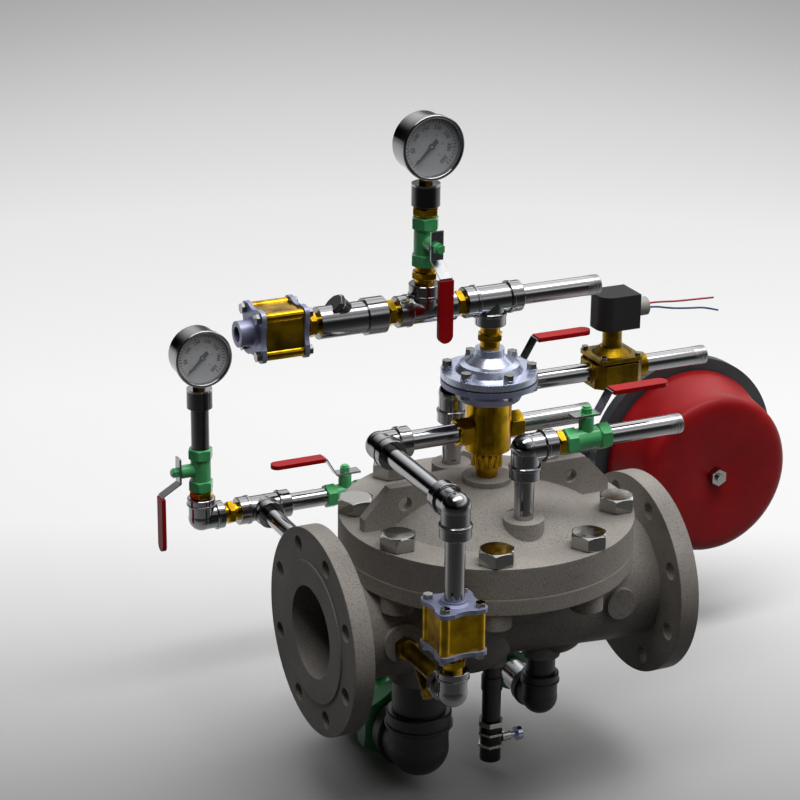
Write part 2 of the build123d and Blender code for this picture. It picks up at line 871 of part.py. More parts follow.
def relay_bonnet_part():
    """Domed bonnet of the relay with stepped shoulders and a top collar."""
    bonnet, dome, collar, top = relay_levels()[5:]
    outer = relay_flange_od / 2
    solid = lathe(
        Vector(mid_x, 0, bonnet),
        z_way,
        [
            (0, 0),
            (0, outer),
            (dome - bonnet, outer),
            (dome - bonnet, outer * 0.7),
            (dome - bonnet + relay_dome * 0.45, outer * 0.62),
            (dome - bonnet + relay_dome * 0.55, outer * 0.5),
            (collar - bonnet, outer * 0.33),
            (collar - bonnet, outer * 0.3),
            (top - bonnet, outer * 0.3),
            (top - bonnet, 0),
        ],
    )
    for x, y in ring_places(relay_bolt_count, relay_bolt_circle):
        solid += rod(Vector(mid_x + x, y, bonnet), z_way, dome - bonnet + 3, check_screw)
        solid -= rod(Vector(mid_x + x, y, bonnet), z_way, dome - bonnet + 3, check_screw / 2)
    solid -= rod(Vector(mid_x, 0, bonnet), z_way, relay_lift + 4, relay_chamber)
    return solid - rod(Vector(mid_x, 0, bonnet), z_way, top - bonnet, pipe_bore / 2)


def relay_diaphragm_part():
    """Rubber ring gripped between the relay's bowl and bonnet."""
    diaphragm, bonnet = relay_levels()[4:6]
    foot = Vector(mid_x, 0, diaphragm)
    solid = tube(foot, z_way, bonnet - diaphragm, relay_flange_od / 2, relay_chamber - 2)
    return relay_bolt_holes(solid, diaphragm, bonnet)


def relay_plunger():
    """Plunger that the diaphragm lifts off the relay's seat."""
    foot, bowl, diaphragm, bonnet = (relay_levels()[i] for i in (0, 2, 4, 5))
    seat = foot + relay_port_rise - pipe_bore / 2 + piston_gap
    disc = relay_barrel_od * 0.3 - 1
    profile = [
        (seat, 0),
        (seat, disc),
        (seat + 6, disc),
        (seat + 6, valve_stem_od / 2),
        (diaphragm - piston_gap, valve_stem_od / 2),
        (diaphragm - piston_gap, relay_chamber - 2 - 2 * piston_gap),
        (bonnet - piston_gap, relay_chamber - 2 - 2 * piston_gap),
        (bonnet - piston_gap, 0),
    ]
    return lathe(Vector(mid_x, 0, 0), z_way, profile)


def check_valve(start, way, first_port, second_port):
    """Square check valve from its first port: housing, plates, screws and poppet."""
    start = Vector(start)
    side = x_way if abs(way.dot(x_way)) < 0.5 else z_way
    first = start + way * first_port
    body = first + way * check_plate
    second = body + way * check_body
    end = second + way * check_plate

    def slab(origin, thickness, outline):
        return extrude(Plane(origin=origin, x_dir=side, z_dir=way) * outline, amount=thickness)

    def port(origin, outwards, length):
        radius = check_port_od / 2
        flared = [(0, 0), (0, radius + check_flare), (check_flare, radius), (length, radius), (length, 0)]
        return lathe(origin, outwards, flared)

    pitch = check_side / 2 - check_column
    section = Rectangle(check_side - 2 * check_recess, check_side - 2 * check_recess)
    for a in (-pitch, pitch):
        for b in (-pitch, pitch):
            section += Pos(a, b) * Circle(check_column)
    width = check_side + 2 * check_lip
    outline = RectangleRounded(width, width, check_column + check_lip)
    bite = (check_waist**2 + check_bite**2) / (2 * check_bite)
    for k in range(4):
        outline -= Rot(0, 0, 90 * k) * Pos(width / 2 + bite - check_bite, 0) * Circle(bite)
    housing = slab(body, check_body, section) - rod(body, way, check_body, check_chamber / 2)
    plates = [
        slab(first, check_plate, outline) + port(first, -way, first_port),
        slab(second, check_plate, outline) + port(end, way, second_port),
    ]
    plates = [plate - rod(start, way, (end - start).length + second_port, check_seat / 2) for plate in plates]
    frame = Plane(origin=first, x_dir=side, z_dir=way)
    screws = []
    for a in (-pitch, pitch):
        for b in (-pitch, pitch):
            place = frame.from_local_coords(Vector(a, b, 0))
            whole = place - way * check_screw / 2
            reach = (end - first).length
            housing -= rod(place, way, reach, check_screw / 2)
            plates = [plate - rod(place, way, reach, check_screw / 2) for plate in plates]
            screw = rod(whole, way, reach + check_screw, check_screw / 2)
            screw += hexagon(place - way * check_screw * 0.8, way, check_screw * 0.8, check_screw * 1.6)
            screw += hexagon(place + way * reach, way, check_screw * 0.8, check_screw * 1.6)
            screws.append(screw)
    poppet = rod(body + way * piston_gap, way, poppet_disc, check_seat / 2 + poppet_lap)
    stem = check_body - poppet_lift - 2 * piston_gap
    poppet += rod(body + way * piston_gap, way, stem, poppet_stem / 2)
    return housing, plates, screws, poppet


def y_check(start, way):
    """Y-pattern check valve that starts at its outlet mouth; its branch leans up and onwards."""
    start = Vector(start)
    lean = (way + z_way).normalized()
    knee = start + way * y_branch_from_end
    body = rod(start, way, y_check_length, y_check_od / 2)
    body += rod(start, way, y_check_mouth, y_check_mouth_od / 2)
    body += rod(knee, lean, y_branch_length - y_branch_hex, y_branch_across_flats / 2 + 1)
    body += nut(knee + lean * (y_branch_length - y_branch_hex), lean, y_branch_hex, y_branch_across_flats)
    body -= rod(start, way, y_check_length, pipe_bore / 2)
    seat = knee + lean * y_disc_seat
    body -= rod(seat, lean, y_disc + y_disc_lift + 2 * piston_gap, y_branch_bore / 2)
    disc = rod(seat + lean * piston_gap, lean, y_disc, y_branch_bore / 2 - piston_gap)
    return body, disc


def strainer(start, way, length):
    """Brass Y-strainer with a hexagon at each mouth, its cap and its screen."""
    start = Vector(start)
    lean = -(way + z_way).normalized()
    knee = start + way * length * 0.62
    body = rod(start, way, length, strainer_od / 2)
    for foot in (start, start + way * (length - strainer_hex)):
        body += nut(foot, way, strainer_hex, strainer_across_flats)
    body += rod(knee, lean, strainer_branch_length, strainer_branch_od / 2)
    body -= rod(start, way, length, strainer_bore / 2)
    body -= rod(knee, lean, strainer_branch_length, screen_od / 2 + 1)
    tip = knee + lean * strainer_branch_length
    cap = nut(tip, lean, strainer_cap, strainer_cap_across_flats)
    screen = tube(knee + lean * 10, lean, strainer_branch_length - 10, screen_od / 2, screen_od / 2 - 1)
    return body, cap, screen


def gauge(foot, facing):
    """Pressure gauge that stands on a socket: case with stem, dial, lens and pointer."""
    foot = Vector(foot)
    centre = foot + z_way * gauge_rise
    front = centre + facing * gauge_front
    back = front - facing * gauge_depth
    case = rod(back, facing, gauge_depth - 6, gauge_case_radius)
    case += rod(front - facing * 6, facing, 6, gauge_bezel_radius)
    case += hexagon(foot, z_way, gauge_rise - gauge_case_radius + 2, gauge_stem_across_flats)
    case -= rod(front - facing * gauge_dial_depth, facing, gauge_dial_depth, gauge_glass_radius)
    dial_face = front - facing * (gauge_dial_depth - gauge_dial)
    dial = rod(front - facing * gauge_dial_depth, facing, gauge_dial, gauge_glass_radius)
    dial += rod(dial_face, facing, 2, pointer_pin / 2)
    lens = rod(front - facing * (gauge_glass + 1), facing, gauge_glass, gauge_glass_radius)
    tip_way = (-z_way - x_way).normalized()
    plane = Plane(origin=dial_face + facing * 1, x_dir=tip_way, z_dir=facing)
    needle = Polyline(
        (-pointer_tail, -pointer_width),
        (pointer_length, -pointer_width / 6),
        (pointer_length, pointer_width / 6),
        (-pointer_tail, pointer_width),
        close=True,
    )
    outline = make_face(needle) + Circle(pointer_width * 1.3) - Circle(pointer_pin / 2 + stem_gap)
    pointer = extrude(plane * outline, amount=pointer_thickness)
    return case, dial, lens, pointer


def gauge_column(tee_top, facing, lever_name, first_gap, spacer):
    """Ball valve, socket and gauge on top of a tee or elbow."""
    valve_foot = Vector(tee_top) + z_way * first_gap
    centre = valve_foot + z_way * (valve_length / 2)
    valve = trim_valve(centre, z_way, facing)
    handles = handle_nodes(lever_name, centre, facing, -z_way, trim_handle)
    socket_foot = valve_foot + z_way * (valve_length + spacer)
    socket = rod(socket_foot, z_way, socket_length, socket_od / 2)
    return valve, handles, socket_foot, socket, gauge(socket_foot + z_way * socket_length, -y_way)


def trim_valve(centre, run, stem):
    """Half inch ball valve body."""
    return ball_valve_body(
        centre, run, stem, valve_length, nipple_across_flats + 1, valve_hex, valve_barrel_od, trim_handle
    )


def solenoid_valve(start):
    """Solenoid valve that starts at its inlet mouth and runs along +X: body, coil, gland, core."""
    start = Vector(start)
    middle = start + x_way * solenoid_bonnet_inset
    body = rod(start, x_way, solenoid_length, solenoid_mouth_radius)
    height = 2 * solenoid_half_height - solenoid_joint
    block = Box(solenoid_block_length, solenoid_block_width, height)
    block = chamfer(block.edges().filter_by(Axis.Z), solenoid_block_chamfer)
    body += Pos(*(middle - z_way * (solenoid_joint / 2))) * block
    body += rod(middle, z_way, solenoid_half_height, solenoid_joint_radius)
    top = middle + z_way * solenoid_half_height
    side = 2 * (solenoid_screw_offset + solenoid_ear)
    body += extrude(Plane(origin=top) * RectangleRounded(side, side, solenoid_ear), amount=solenoid_bonnet)
    rise = solenoid_bonnet + solenoid_bonnet_rise
    body += lathe(
        top,
        z_way,
        [
            (0, 0),
            (solenoid_bonnet, 0),
            (solenoid_bonnet, solenoid_joint_radius + solenoid_ear / 2),
            (rise, solenoid_neck_radius + solenoid_joint),
            (rise, solenoid_neck_radius),
            (solenoid_neck_top - solenoid_half_height, solenoid_neck_radius),
            (solenoid_neck_top - solenoid_half_height, 0),
        ],
    )
    coil_foot = middle + z_way * solenoid_neck_top
    body += rod(coil_foot, z_way, core_tube_top, core_tube_radius)
    body -= rod(start, x_way, solenoid_length, pipe_bore / 2)
    hollow = middle + z_way * (pipe_bore / 2 + casting_wall / 4)
    depth = (coil_foot - hollow).length + core_tube_top - casting_wall / 4
    body -= rod(hollow, z_way, depth, core_radius + ball_gap)
    core = rod(hollow + z_way * piston_gap, z_way, depth - core_lift - 2 * piston_gap, core_radius)
    coil = Box(coil_length, coil_width, coil_height)
    coil = fillet(coil.edges().filter_by(Axis.Z).sort_by(Axis.X)[:2], coil_rounding)
    coil = Pos(*(coil_foot + z_way * (coil_height / 2))) * coil
    coil -= rod(coil_foot, z_way, core_tube_top, core_tube_radius)
    gland_foot = coil_foot + x_way * (coil_length / 2) + z_way * gland_rise
    gland = rod(gland_foot, x_way, gland_length, gland_radius)
    exits = [gland_foot + x_way * gland_length + z_way * side * lead_spacing / 2 for side in (1, -1)]
    screws = []
    for a in (-1, 1):
        for b in (-1, 1):
            head = top + Vector(a, b, 0) * solenoid_screw_offset + z_way * solenoid_bonnet
            depth = solenoid_bonnet + solenoid_joint + solenoid_screw_depth
            shank = rod(head, -z_way, depth, solenoid_screw_shank)
            screws.append(shank + rod(head, z_way, solenoid_screw_head, solenoid_screw_head))
            body -= shank
    return body, coil, gland, core, screws, exits


def lead(points):
    """Plain tube along a lead's route, straight runs joined by arcs as large as they allow."""
    points = [Vector(*p) for p in points]
    radii = []
    for before, here, after in zip(points, points[1:], points[2:]):
        turn = math.radians((here - before).get_angle(after - here))
        radii.append(0.45 * min((here - before).length, (after - here).length) / math.tan(turn / 2))
    print("lead radii", [round(r) for r in radii])
    path = FilletPolyline(*points, radius=radii)
    start = Plane(origin=points[0], z_dir=points[1] - points[0])
    return sweep(start * Circle(lead_od / 2), path=path)


def water_motor_gong(inlet_x):
    """Water motor with back plate, the bell, its through bolt and nut, and the striker."""
    axis = Vector(gong_x, 0, alarm_height)
    bell_depth = bell_rim_offset - bell_front_offset

    def shell(along, inwards):
        outline = [
            (0, along),
            (bell_face_radius - inwards, bell_face_rise + along),
            (bell_step_radius - inwards, bell_step + along),
            (bell_ridge_radius - inwards, bell_ridge + along),
            (bell_radius - inwards, bell_depth + along),
        ]
        rounding = [bell_edge_rounding, bell_step_rounding, bell_ridge_rounding]
        profile = FilletPolyline(*outline, radius=rounding)
        profile += Polyline(outline[-1], (0, bell_depth + along), (0, along))
        return revolve(make_face(profile), Axis.Y)

    bell = shell(0, 0) - shell(bell_wall * 0.95, bell_wall * 0.68)
    bell = Pos(gong_x, bell_front_offset, alarm_height) * bell
    bell -= rod(axis + y_way * (bell_front_offset - 1), y_way, bell_wall + 2, gong_bolt_radius)
    motor_front = alarm_offset - motor_thickness / 2
    chamber_front = motor_front + motor_wall
    chamber_depth = motor_thickness - 2 * motor_wall
    plate = axis + y_way * plate_offset
    bracket = rod(plate, y_way, plate_thickness, plate_radius)
    bracket += tube(plate, y_way, plate_rim + plate_thickness, plate_radius, plate_radius - plate_thickness)
    bracket += rod(plate, y_way, motor_front - plate_offset, motor_neck_radius)
    bracket += rod(axis + y_way * motor_front, y_way, motor_thickness, motor_radius)
    bracket += rod(Vector(inlet_x, alarm_offset, alarm_height), x_way, gong_x - inlet_x, socket_od / 2)
    bracket += rod(axis + y_way * alarm_offset, -z_way, motor_radius + motor_outlet, socket_od / 2)
    bracket -= rod(axis + y_way * chamber_front, y_way, chamber_depth, impeller_radius + 4)
    bracket -= rod(axis + y_way * (plate_offset - 1), y_way, chamber_front - plate_offset + 2, sleeve_bore())
    sleeve_start = striker_offset - striker_radius
    striker = rod(
        axis + y_way * sleeve_start, y_way, chamber_front + chamber_depth - ball_gap - sleeve_start, sleeve_radius
    )
    for k in range(impeller_blades):
        blade = Pos(impeller_radius / 2, 0, 0) * Box(impeller_radius, chamber_depth - 4, 3)
        striker += Pos(*(axis + y_way * alarm_offset)) * Rot(0, 360 * k / impeller_blades, 0) * blade
    arm = axis + y_way * striker_offset
    striker += rod(arm, -z_way, striker_reach, gong_bolt_radius)
    striker += Pos(*(arm - z_way * striker_reach)) * Sphere(striker_radius)
    bolt_start = bell_front_offset - gong_nut - 4
    bolt_length = chamber_front + chamber_depth - bolt_start
    striker -= rod(axis + y_way * bolt_start, y_way, bolt_length, gong_bolt_radius + stem_gap)
    nut = rod(axis + y_way * bolt_start, y_way, bolt_length, gong_bolt_radius)
    nut += hexagon(axis + y_way * (bell_front_offset - gong_nut), y_way, gong_nut, gong_nut_across_flats)
    return bell, bracket, striker, nut


def sleeve_bore():
    """Radius of the hole in the motor's neck that the striker's sleeve turns in."""
    return sleeve_radius + stem_gap


def drip_valve():
    """Ball drip valve under the body: pipe with coupling, body with seat, ball and push knob."""
    top = Vector(drip_inset, 0, -drip_boss_bottom)
    feed = rod(top, -z_way, drip_top - drip_boss_bottom, pipe_od / 2)
    coupling = Vector(drip_inset, 0, -drip_coupling_bottom)
    feed += rod(coupling, z_way, drip_coupling, drip_coupling_od / 2)
    feed -= rod(top, -z_way, drip_top - drip_boss_bottom, pipe_bore / 2)
    head = Vector(drip_inset, 0, -drip_top)
    body = rod(head, -z_way, drip_length, drip_od / 2 - 1)
    for level, width in ((0, 6), (14, 3), (drip_length * 0.58, 3)):
        body += hexagon(head - z_way * level, -z_way, width, drip_od)
    knob_axis = Vector(drip_inset, 0, -drip_knob_height)
    body += rod(knob_axis, x_way, drip_socket_reach, drip_rod_radius * 2)
    body -= rod(head, -z_way, drip_length, drip_outlet_radius)
    drop = math.sqrt(drip_ball_radius**2 - drip_outlet_radius**2) + ball_gap
    chamber_height = drop + drip_ball_radius + drip_lift + ball_gap
    body -= rod(knob_axis - z_way * drop, z_way, chamber_height, drip_ball_radius + drip_side_gap)
    body -= rod(knob_axis, x_way, drip_socket_reach, drip_rod_radius + stem_gap)
    rod_start = drip_ball_radius + drip_push + ball_gap
    knob = rod(knob_axis + x_way * rod_start, x_way, drip_knob_reach - rod_start, drip_rod_radius)
    knob += rod(knob_axis + x_way * (drip_knob_reach - drip_knob), x_way, drip_knob, drip_knob_radius)
    ball = Pos(*knob_axis) * Sphere(drip_ball_radius)
    return feed, body, ball, knob


def drain(inset, drop, elbow_sizes, pipe_size, foot):
    """One drain: leg from the body's underside and an elbow that turns to the back."""
    corner = Vector(inset, 0, -drop)
    reach = elbow_sizes[0]
    bent = elbow(corner, z_way, y_way, *elbow_sizes)
    top = corner + z_way * reach
    leg = rod(top, z_way, foot - top.Z, pipe_size / 2)
    leg -= rod(top, z_way, foot - top.Z, pipe_size / 2 - pipe_wall)
    return leg, bent, corner + y_way * reach


trim_handle = Handle(1.0, valve_tower)
main_handle = Handle(main_handle_scale, main_valve_across_flats / 2 + main_tower, flat=True)
side_handle = Handle(side_handle_scale, side_valve_across_flats / 2 + side_tower, flat=True)


def build():
    """Every node of the valve by name."""
    nodes = {
        "valve_body": valve_body(),
        "valve_cover": valve_cover(),
        "cover_gasket": cover_gasket(),
        "cover_bolts": cover_bolts(),
        "seat_ring": seat_ring(),
        "main_piston": main_piston(),
        "main_spring": main_spring(),
        "relay_body": relay_body(),
        "relay_bowl": relay_bowl_part(),
        "relay_bonnet": relay_bonnet_part(),
        "relay_diaphragm": relay_diaphragm_part(),
        "relay_plunger": relay_plunger(),
    }
    pipes, elbows, tees, nipples, valves, fasteners = [], [], [], [], [], []
    housings, plates = [], []
    relay_top = relay_levels()[-1]
    fasteners += relay_bolts()

    upper_tee = Vector(mid_x, 0, air_line_height)
    tees.append(tee(upper_tee, x_way, -z_way))
    nipples.append(nipple((mid_x, 0, relay_top), z_way, air_line_height - tee_branch - relay_top))
    pipes.append(pipe(upper_tee + x_way * tee_half_run, x_way, air_supply_length))
    place = upper_tee - x_way * tee_half_run
    nipples.append(nipple(place, -x_way, nipple_short))
    column_tee = place - x_way * (nipple_short + tee_half_run)
    tees.append(tee(column_tee, x_way, z_way))
    place = column_tee - x_way * tee_half_run
    nipples.append(nipple(place, -x_way, nipple_long))
    place -= x_way * nipple_long
    nodes["y_check_body"], nodes["y_check_disc"] = y_check(place, -x_way)
    place -= x_way * y_check_length
    nipples.append(nipple(place, -x_way, nipple_long))
    place -= x_way * nipple_long
    length = check_port_short + 2 * check_plate + check_body + check_port_long
    housing, ends, screws, nodes["air_check_poppet"] = check_valve(
        place - x_way * length, x_way, check_port_long, check_port_short
    )
    housings.append(housing)
    plates += ends
    fasteners += screws

    cases, dials, lenses = [], [], []
    alarm_corner = Vector(alarm_elbow_inset, alarm_offset, alarm_height)
    columns = (
        ("air_gauge", column_tee + z_way * tee_branch, -y_way, upper_column_gap, nipple_short, 0),
        ("water_gauge", alarm_corner + z_way * short_elbow_reach, -x_way, lower_column_gap, 0, column_nipple),
    )
    for name, foot, facing, gap, brass, black in columns:
        nipples.append(nipple(foot, z_way, gap))
        valve, handles, socket_foot, socket, parts = gauge_column(foot, facing, name, gap, brass + black)
        valves.append(valve)
        nodes.update(handles)
        spacer = brass + black
        if brass:
            nipples.append(nipple(socket_foot - z_way * spacer, z_way, spacer))
        else:
            pipes.append(pipe(socket_foot - z_way * spacer, z_way, spacer))
        pipes.append(socket)
        cases.append(parts[0])
        dials.append(parts[1])
        lenses.append(parts[2])
        nodes[f"{name}_pointer"] = parts[3]
    nodes.update(gauge_cases=group(cases), gauge_dials=group(dials), gauge_lenses=group(lenses))

    port_height = relay_levels()[0] + relay_port_rise
    left_port = Vector(mid_x - relay_port_reach, 0, port_height)
    back_corner = Vector(riser_inset, 0, port_height)
    front_corner = back_corner - y_way * riser_offset
    pipes.append(pipe(left_port, -x_way, left_port.X - riser_inset - elbow_reach))
    elbows.append(trim_elbow(back_corner, x_way, -y_way))
    pipes.append(pipe(back_corner - y_way * elbow_reach, -y_way, riser_offset - 2 * elbow_reach))
    elbows.append(trim_elbow(front_corner, y_way, -z_way))
    foot_corner = Vector(riser_inset, -riser_offset, riser_foot_height)
    elbows.append(trim_elbow(foot_corner, z_way, y_way, short_elbow_reach, short_band_width))
    nut_foot = foot_corner + z_way * short_elbow_reach
    nipples.append(nipple(nut_foot, z_way, upper_column_gap))
    check_foot = nut_foot + z_way * upper_column_gap
    housing, ends, screws, nodes["riser_check_poppet"] = check_valve(
        check_foot, z_way, check_port_short, check_port_short
    )
    housings.append(housing)
    plates += ends
    fasteners += screws
    check_top = check_foot + z_way * (2 * check_port_short + 2 * check_plate + check_body)
    pipes.append(pipe(check_top, z_way, front_corner.Z - elbow_reach - check_top.Z))
    strainer_start = foot_corner + y_way * short_elbow_reach
    strainer_length = -port_reach - strainer_start.Y
    nodes["strainer_body"], nodes["strainer_cap"], nodes["strainer_screen"] = strainer(
        strainer_start, y_way, strainer_length
    )
    right_port = Vector(mid_x + relay_port_reach, 0, port_height)
    pipes.append(pipe(right_port, x_way, relay_outlet_length))

    for name, side, height, gap in (
        ("release", -1, release_height, nipple_short),
        ("solenoid", 1, solenoid_height, nipple_short + 2),
    ):
        boss_top = Vector(mid_x, side * line_boss_offset, cover_top + line_boss_rise)
        corner = Vector(mid_x, side * line_boss_offset, height)
        pipes.append(pipe(boss_top, z_way, height - elbow_reach - boss_top.Z))
        elbows.append(trim_elbow(corner, -z_way, x_way))
        place = corner + x_way * elbow_reach
        nipples.append(nipple(place, x_way, gap))
        middle = place + x_way * (gap + valve_length / 2)
        valves.append(trim_valve(middle, x_way, z_way))
        nodes.update(handle_nodes(name, middle, z_way, x_way, trim_handle))
        valve_end = middle + x_way * (valve_length / 2)
        if name == "release":
            pipes.append(pipe(valve_end, x_way, release_outlet_length))
        else:
            pipes.append(pipe(valve_end, x_way, valve_to_solenoid))
            start = valve_end + x_way * valve_to_solenoid
            parts = solenoid_valve(start)
            nodes["solenoid_body"], nodes["solenoid_coil"], nodes["wire_gland"] = parts[:3]
            nodes["solenoid_core"] = parts[3]
            fasteners += parts[4]
            pipes.append(pipe(start + x_way * solenoid_length, x_way, solenoid_outlet_length))
            for colour, exit_point, route in zip(("red", "blue"), parts[5], (red_route, blue_route)):
                nodes[f"{colour}_lead"] = lead([exit_point + Vector(*step) for step in route])

    alarm_tee = Vector(alarm_tee_inset, alarm_offset, alarm_height)
    elbows.append(trim_elbow(alarm_corner, z_way, x_way, short_elbow_reach, short_band_width))
    elbow_face = alarm_corner + x_way * short_elbow_reach
    nipples.append(nipple(elbow_face, x_way, alarm_tee.X - tee_half_run - elbow_face.X))
    tees.append(tee(alarm_tee, x_way, -y_way))
    pipes.append(pipe((alarm_tee.X, port_reach, 0), y_way, alarm_offset - tee_branch - port_reach))
    place = alarm_tee + x_way * tee_half_run
    pipes.append(pipe(place, x_way, alarm_valve_pipe))
    middle = place + x_way * (alarm_valve_pipe + valve_length / 2)
    valves.append(trim_valve(middle, x_way, z_way))
    nodes.update(handle_nodes("alarm_test", middle, z_way, -x_way, trim_handle))
    place = middle + x_way * (valve_length / 2)
    motor_inlet = gong_x - motor_radius - motor_inlet_length
    pipes.append(pipe(place, x_way, motor_inlet - place.X))
    nodes["gong_bell"], nodes["gong_bracket"], nodes["gong_striker"], nut = water_motor_gong(motor_inlet)
    fasteners.append(nut)

    legs, drain_valves = [], []
    for name, size, handle in (
        ("main_drain", main_sizes, main_handle),
        ("side_drain", side_sizes, side_handle),
    ):
        leg, bent, mouth = drain(*size["elbow"])
        union = tube(mouth, y_way, size["union"], size["union_od"] / 2, size["pipe"] / 2 - union_wall)
        legs += [leg, bent, union]
        middle = mouth + y_way * (size["union"] + size["valve"] / 2)
        drain_valves.append(
            ball_valve_body(
                middle,
                y_way,
                z_way,
                size["valve"],
                size["across_flats"],
                size["valve"] * drain_hex_share,
                size["across_flats"] * drain_barrel_share,
                handle,
            )
        )
        nodes.update(handle_nodes(name, middle, z_way, y_way, handle))
    feed, nodes["drip_valve_body"], nodes["drip_ball"], nodes["drip_knob"] = drip_valve()
    nodes.update(
        check_housings=group(housings),
        check_end_plates=group(plates),
        small_fasteners=group(fasteners),
        trim_pipes=group(pipes),
        trim_elbows=group(elbows),
        trim_tees=group(tees),
        hex_nipples=group(nipples),
        trim_valve_bodies=group(valves),
        drain_pipes=group(legs + [feed]),
        drain_valve_bodies=group(drain_valves),
    )
    return nodes


def relay_bolts():
    """Bolts and nuts that clamp the relay's bowl and bonnet."""
    flange, dome = relay_levels()[3], relay_levels()[6]
    bolts = []
    for x, y in ring_places(relay_bolt_count, relay_bolt_circle):
        head = Vector(mid_x + x, y, dome + 3)
        bolt = hexagon(head, z_way, check_screw, check_screw * 1.7)
        bolt += rod(Vector(head.X, head.Y, flange - 5), z_way, dome + 3 - flange + 5, check_screw / 2 - 0.1)
        bolt += hexagon(Vector(head.X, head.Y, flange - 5), z_way, 5, check_screw * 1.7)
        bolts.append(bolt)
    return bolts


if __name__ == "__main__":
    os.makedirs("parts", exist_ok=True)
    for name, shape in build().items():
        export_step(shape, f"parts/{name}.step")
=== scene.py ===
import json
import math

import bpy
import numpy as np
from mathutils import Matrix, Vector


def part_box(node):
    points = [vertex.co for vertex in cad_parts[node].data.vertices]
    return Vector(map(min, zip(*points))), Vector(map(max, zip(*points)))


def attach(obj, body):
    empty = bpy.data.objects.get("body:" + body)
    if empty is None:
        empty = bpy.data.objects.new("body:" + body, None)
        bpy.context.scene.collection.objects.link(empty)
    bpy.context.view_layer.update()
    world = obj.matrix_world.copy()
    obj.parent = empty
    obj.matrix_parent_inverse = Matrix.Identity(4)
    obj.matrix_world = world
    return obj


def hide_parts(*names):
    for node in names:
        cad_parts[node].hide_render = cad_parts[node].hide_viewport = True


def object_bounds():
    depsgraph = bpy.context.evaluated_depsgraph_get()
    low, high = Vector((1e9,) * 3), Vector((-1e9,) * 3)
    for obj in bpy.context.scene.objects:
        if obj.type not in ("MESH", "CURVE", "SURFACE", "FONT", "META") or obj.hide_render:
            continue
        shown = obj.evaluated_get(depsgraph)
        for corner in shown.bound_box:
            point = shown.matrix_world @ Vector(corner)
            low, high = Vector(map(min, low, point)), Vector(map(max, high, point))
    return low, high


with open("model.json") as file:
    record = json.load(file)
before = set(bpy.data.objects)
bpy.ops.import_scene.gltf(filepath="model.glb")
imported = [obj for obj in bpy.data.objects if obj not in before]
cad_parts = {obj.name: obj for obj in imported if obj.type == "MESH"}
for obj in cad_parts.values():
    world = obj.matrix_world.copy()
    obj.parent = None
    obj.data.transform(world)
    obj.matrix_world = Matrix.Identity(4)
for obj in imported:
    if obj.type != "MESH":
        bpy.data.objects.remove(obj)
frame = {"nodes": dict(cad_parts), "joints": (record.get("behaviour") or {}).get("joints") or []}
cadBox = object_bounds()
nodes = frame["nodes"]
bpy.context.scene.view_settings.view_transform = "Standard"
print("frame loaded:", len(nodes), "nodes")


# camera: where the photographer stands

camera = {
    "place": (-0.99239, -2.31563, 1.20761),
    "turn": -25.31,      # degrees about Z, 0 looks along +Y
    "dip": 20.5,         # degrees below level
    "roll": 0.623,
    "focal": 117.04,     # mm on a 36 mm sensor
}


def setCamera(c):
    data = bpy.data.cameras.new("camera")
    data.lens = c["focal"]
    data.sensor_width = 36
    data.clip_end = 60
    eye = bpy.data.objects.new("camera", data)
    bpy.context.scene.collection.objects.link(eye)
    turn = Matrix.Rotation(math.radians(c["turn"]), 4, "Z")
    dip = Matrix.Rotation(math.radians(90 - c["dip"]), 4, "X")
    roll = Matrix.Rotation(math.radians(c["roll"]), 4, "Z")
    eye.matrix_world = Matrix.Translation(c["place"]) @ turn @ dip @ roll
    bpy.context.scene.camera = eye


setCamera(camera)
print("camera set")


# finishes


def colour(r, g, b):
    # sRGB 0-255 to linear: ((c + 0.055) / 1.055) ^ 2.4, or c / 12.92 near black
    def one(v):
        v /= 255
        return v / 12.92 if v <= 0.04045 else ((v + 0.055) / 1.055) ** 2.4

    return (one(r), one(g), one(b), 1)


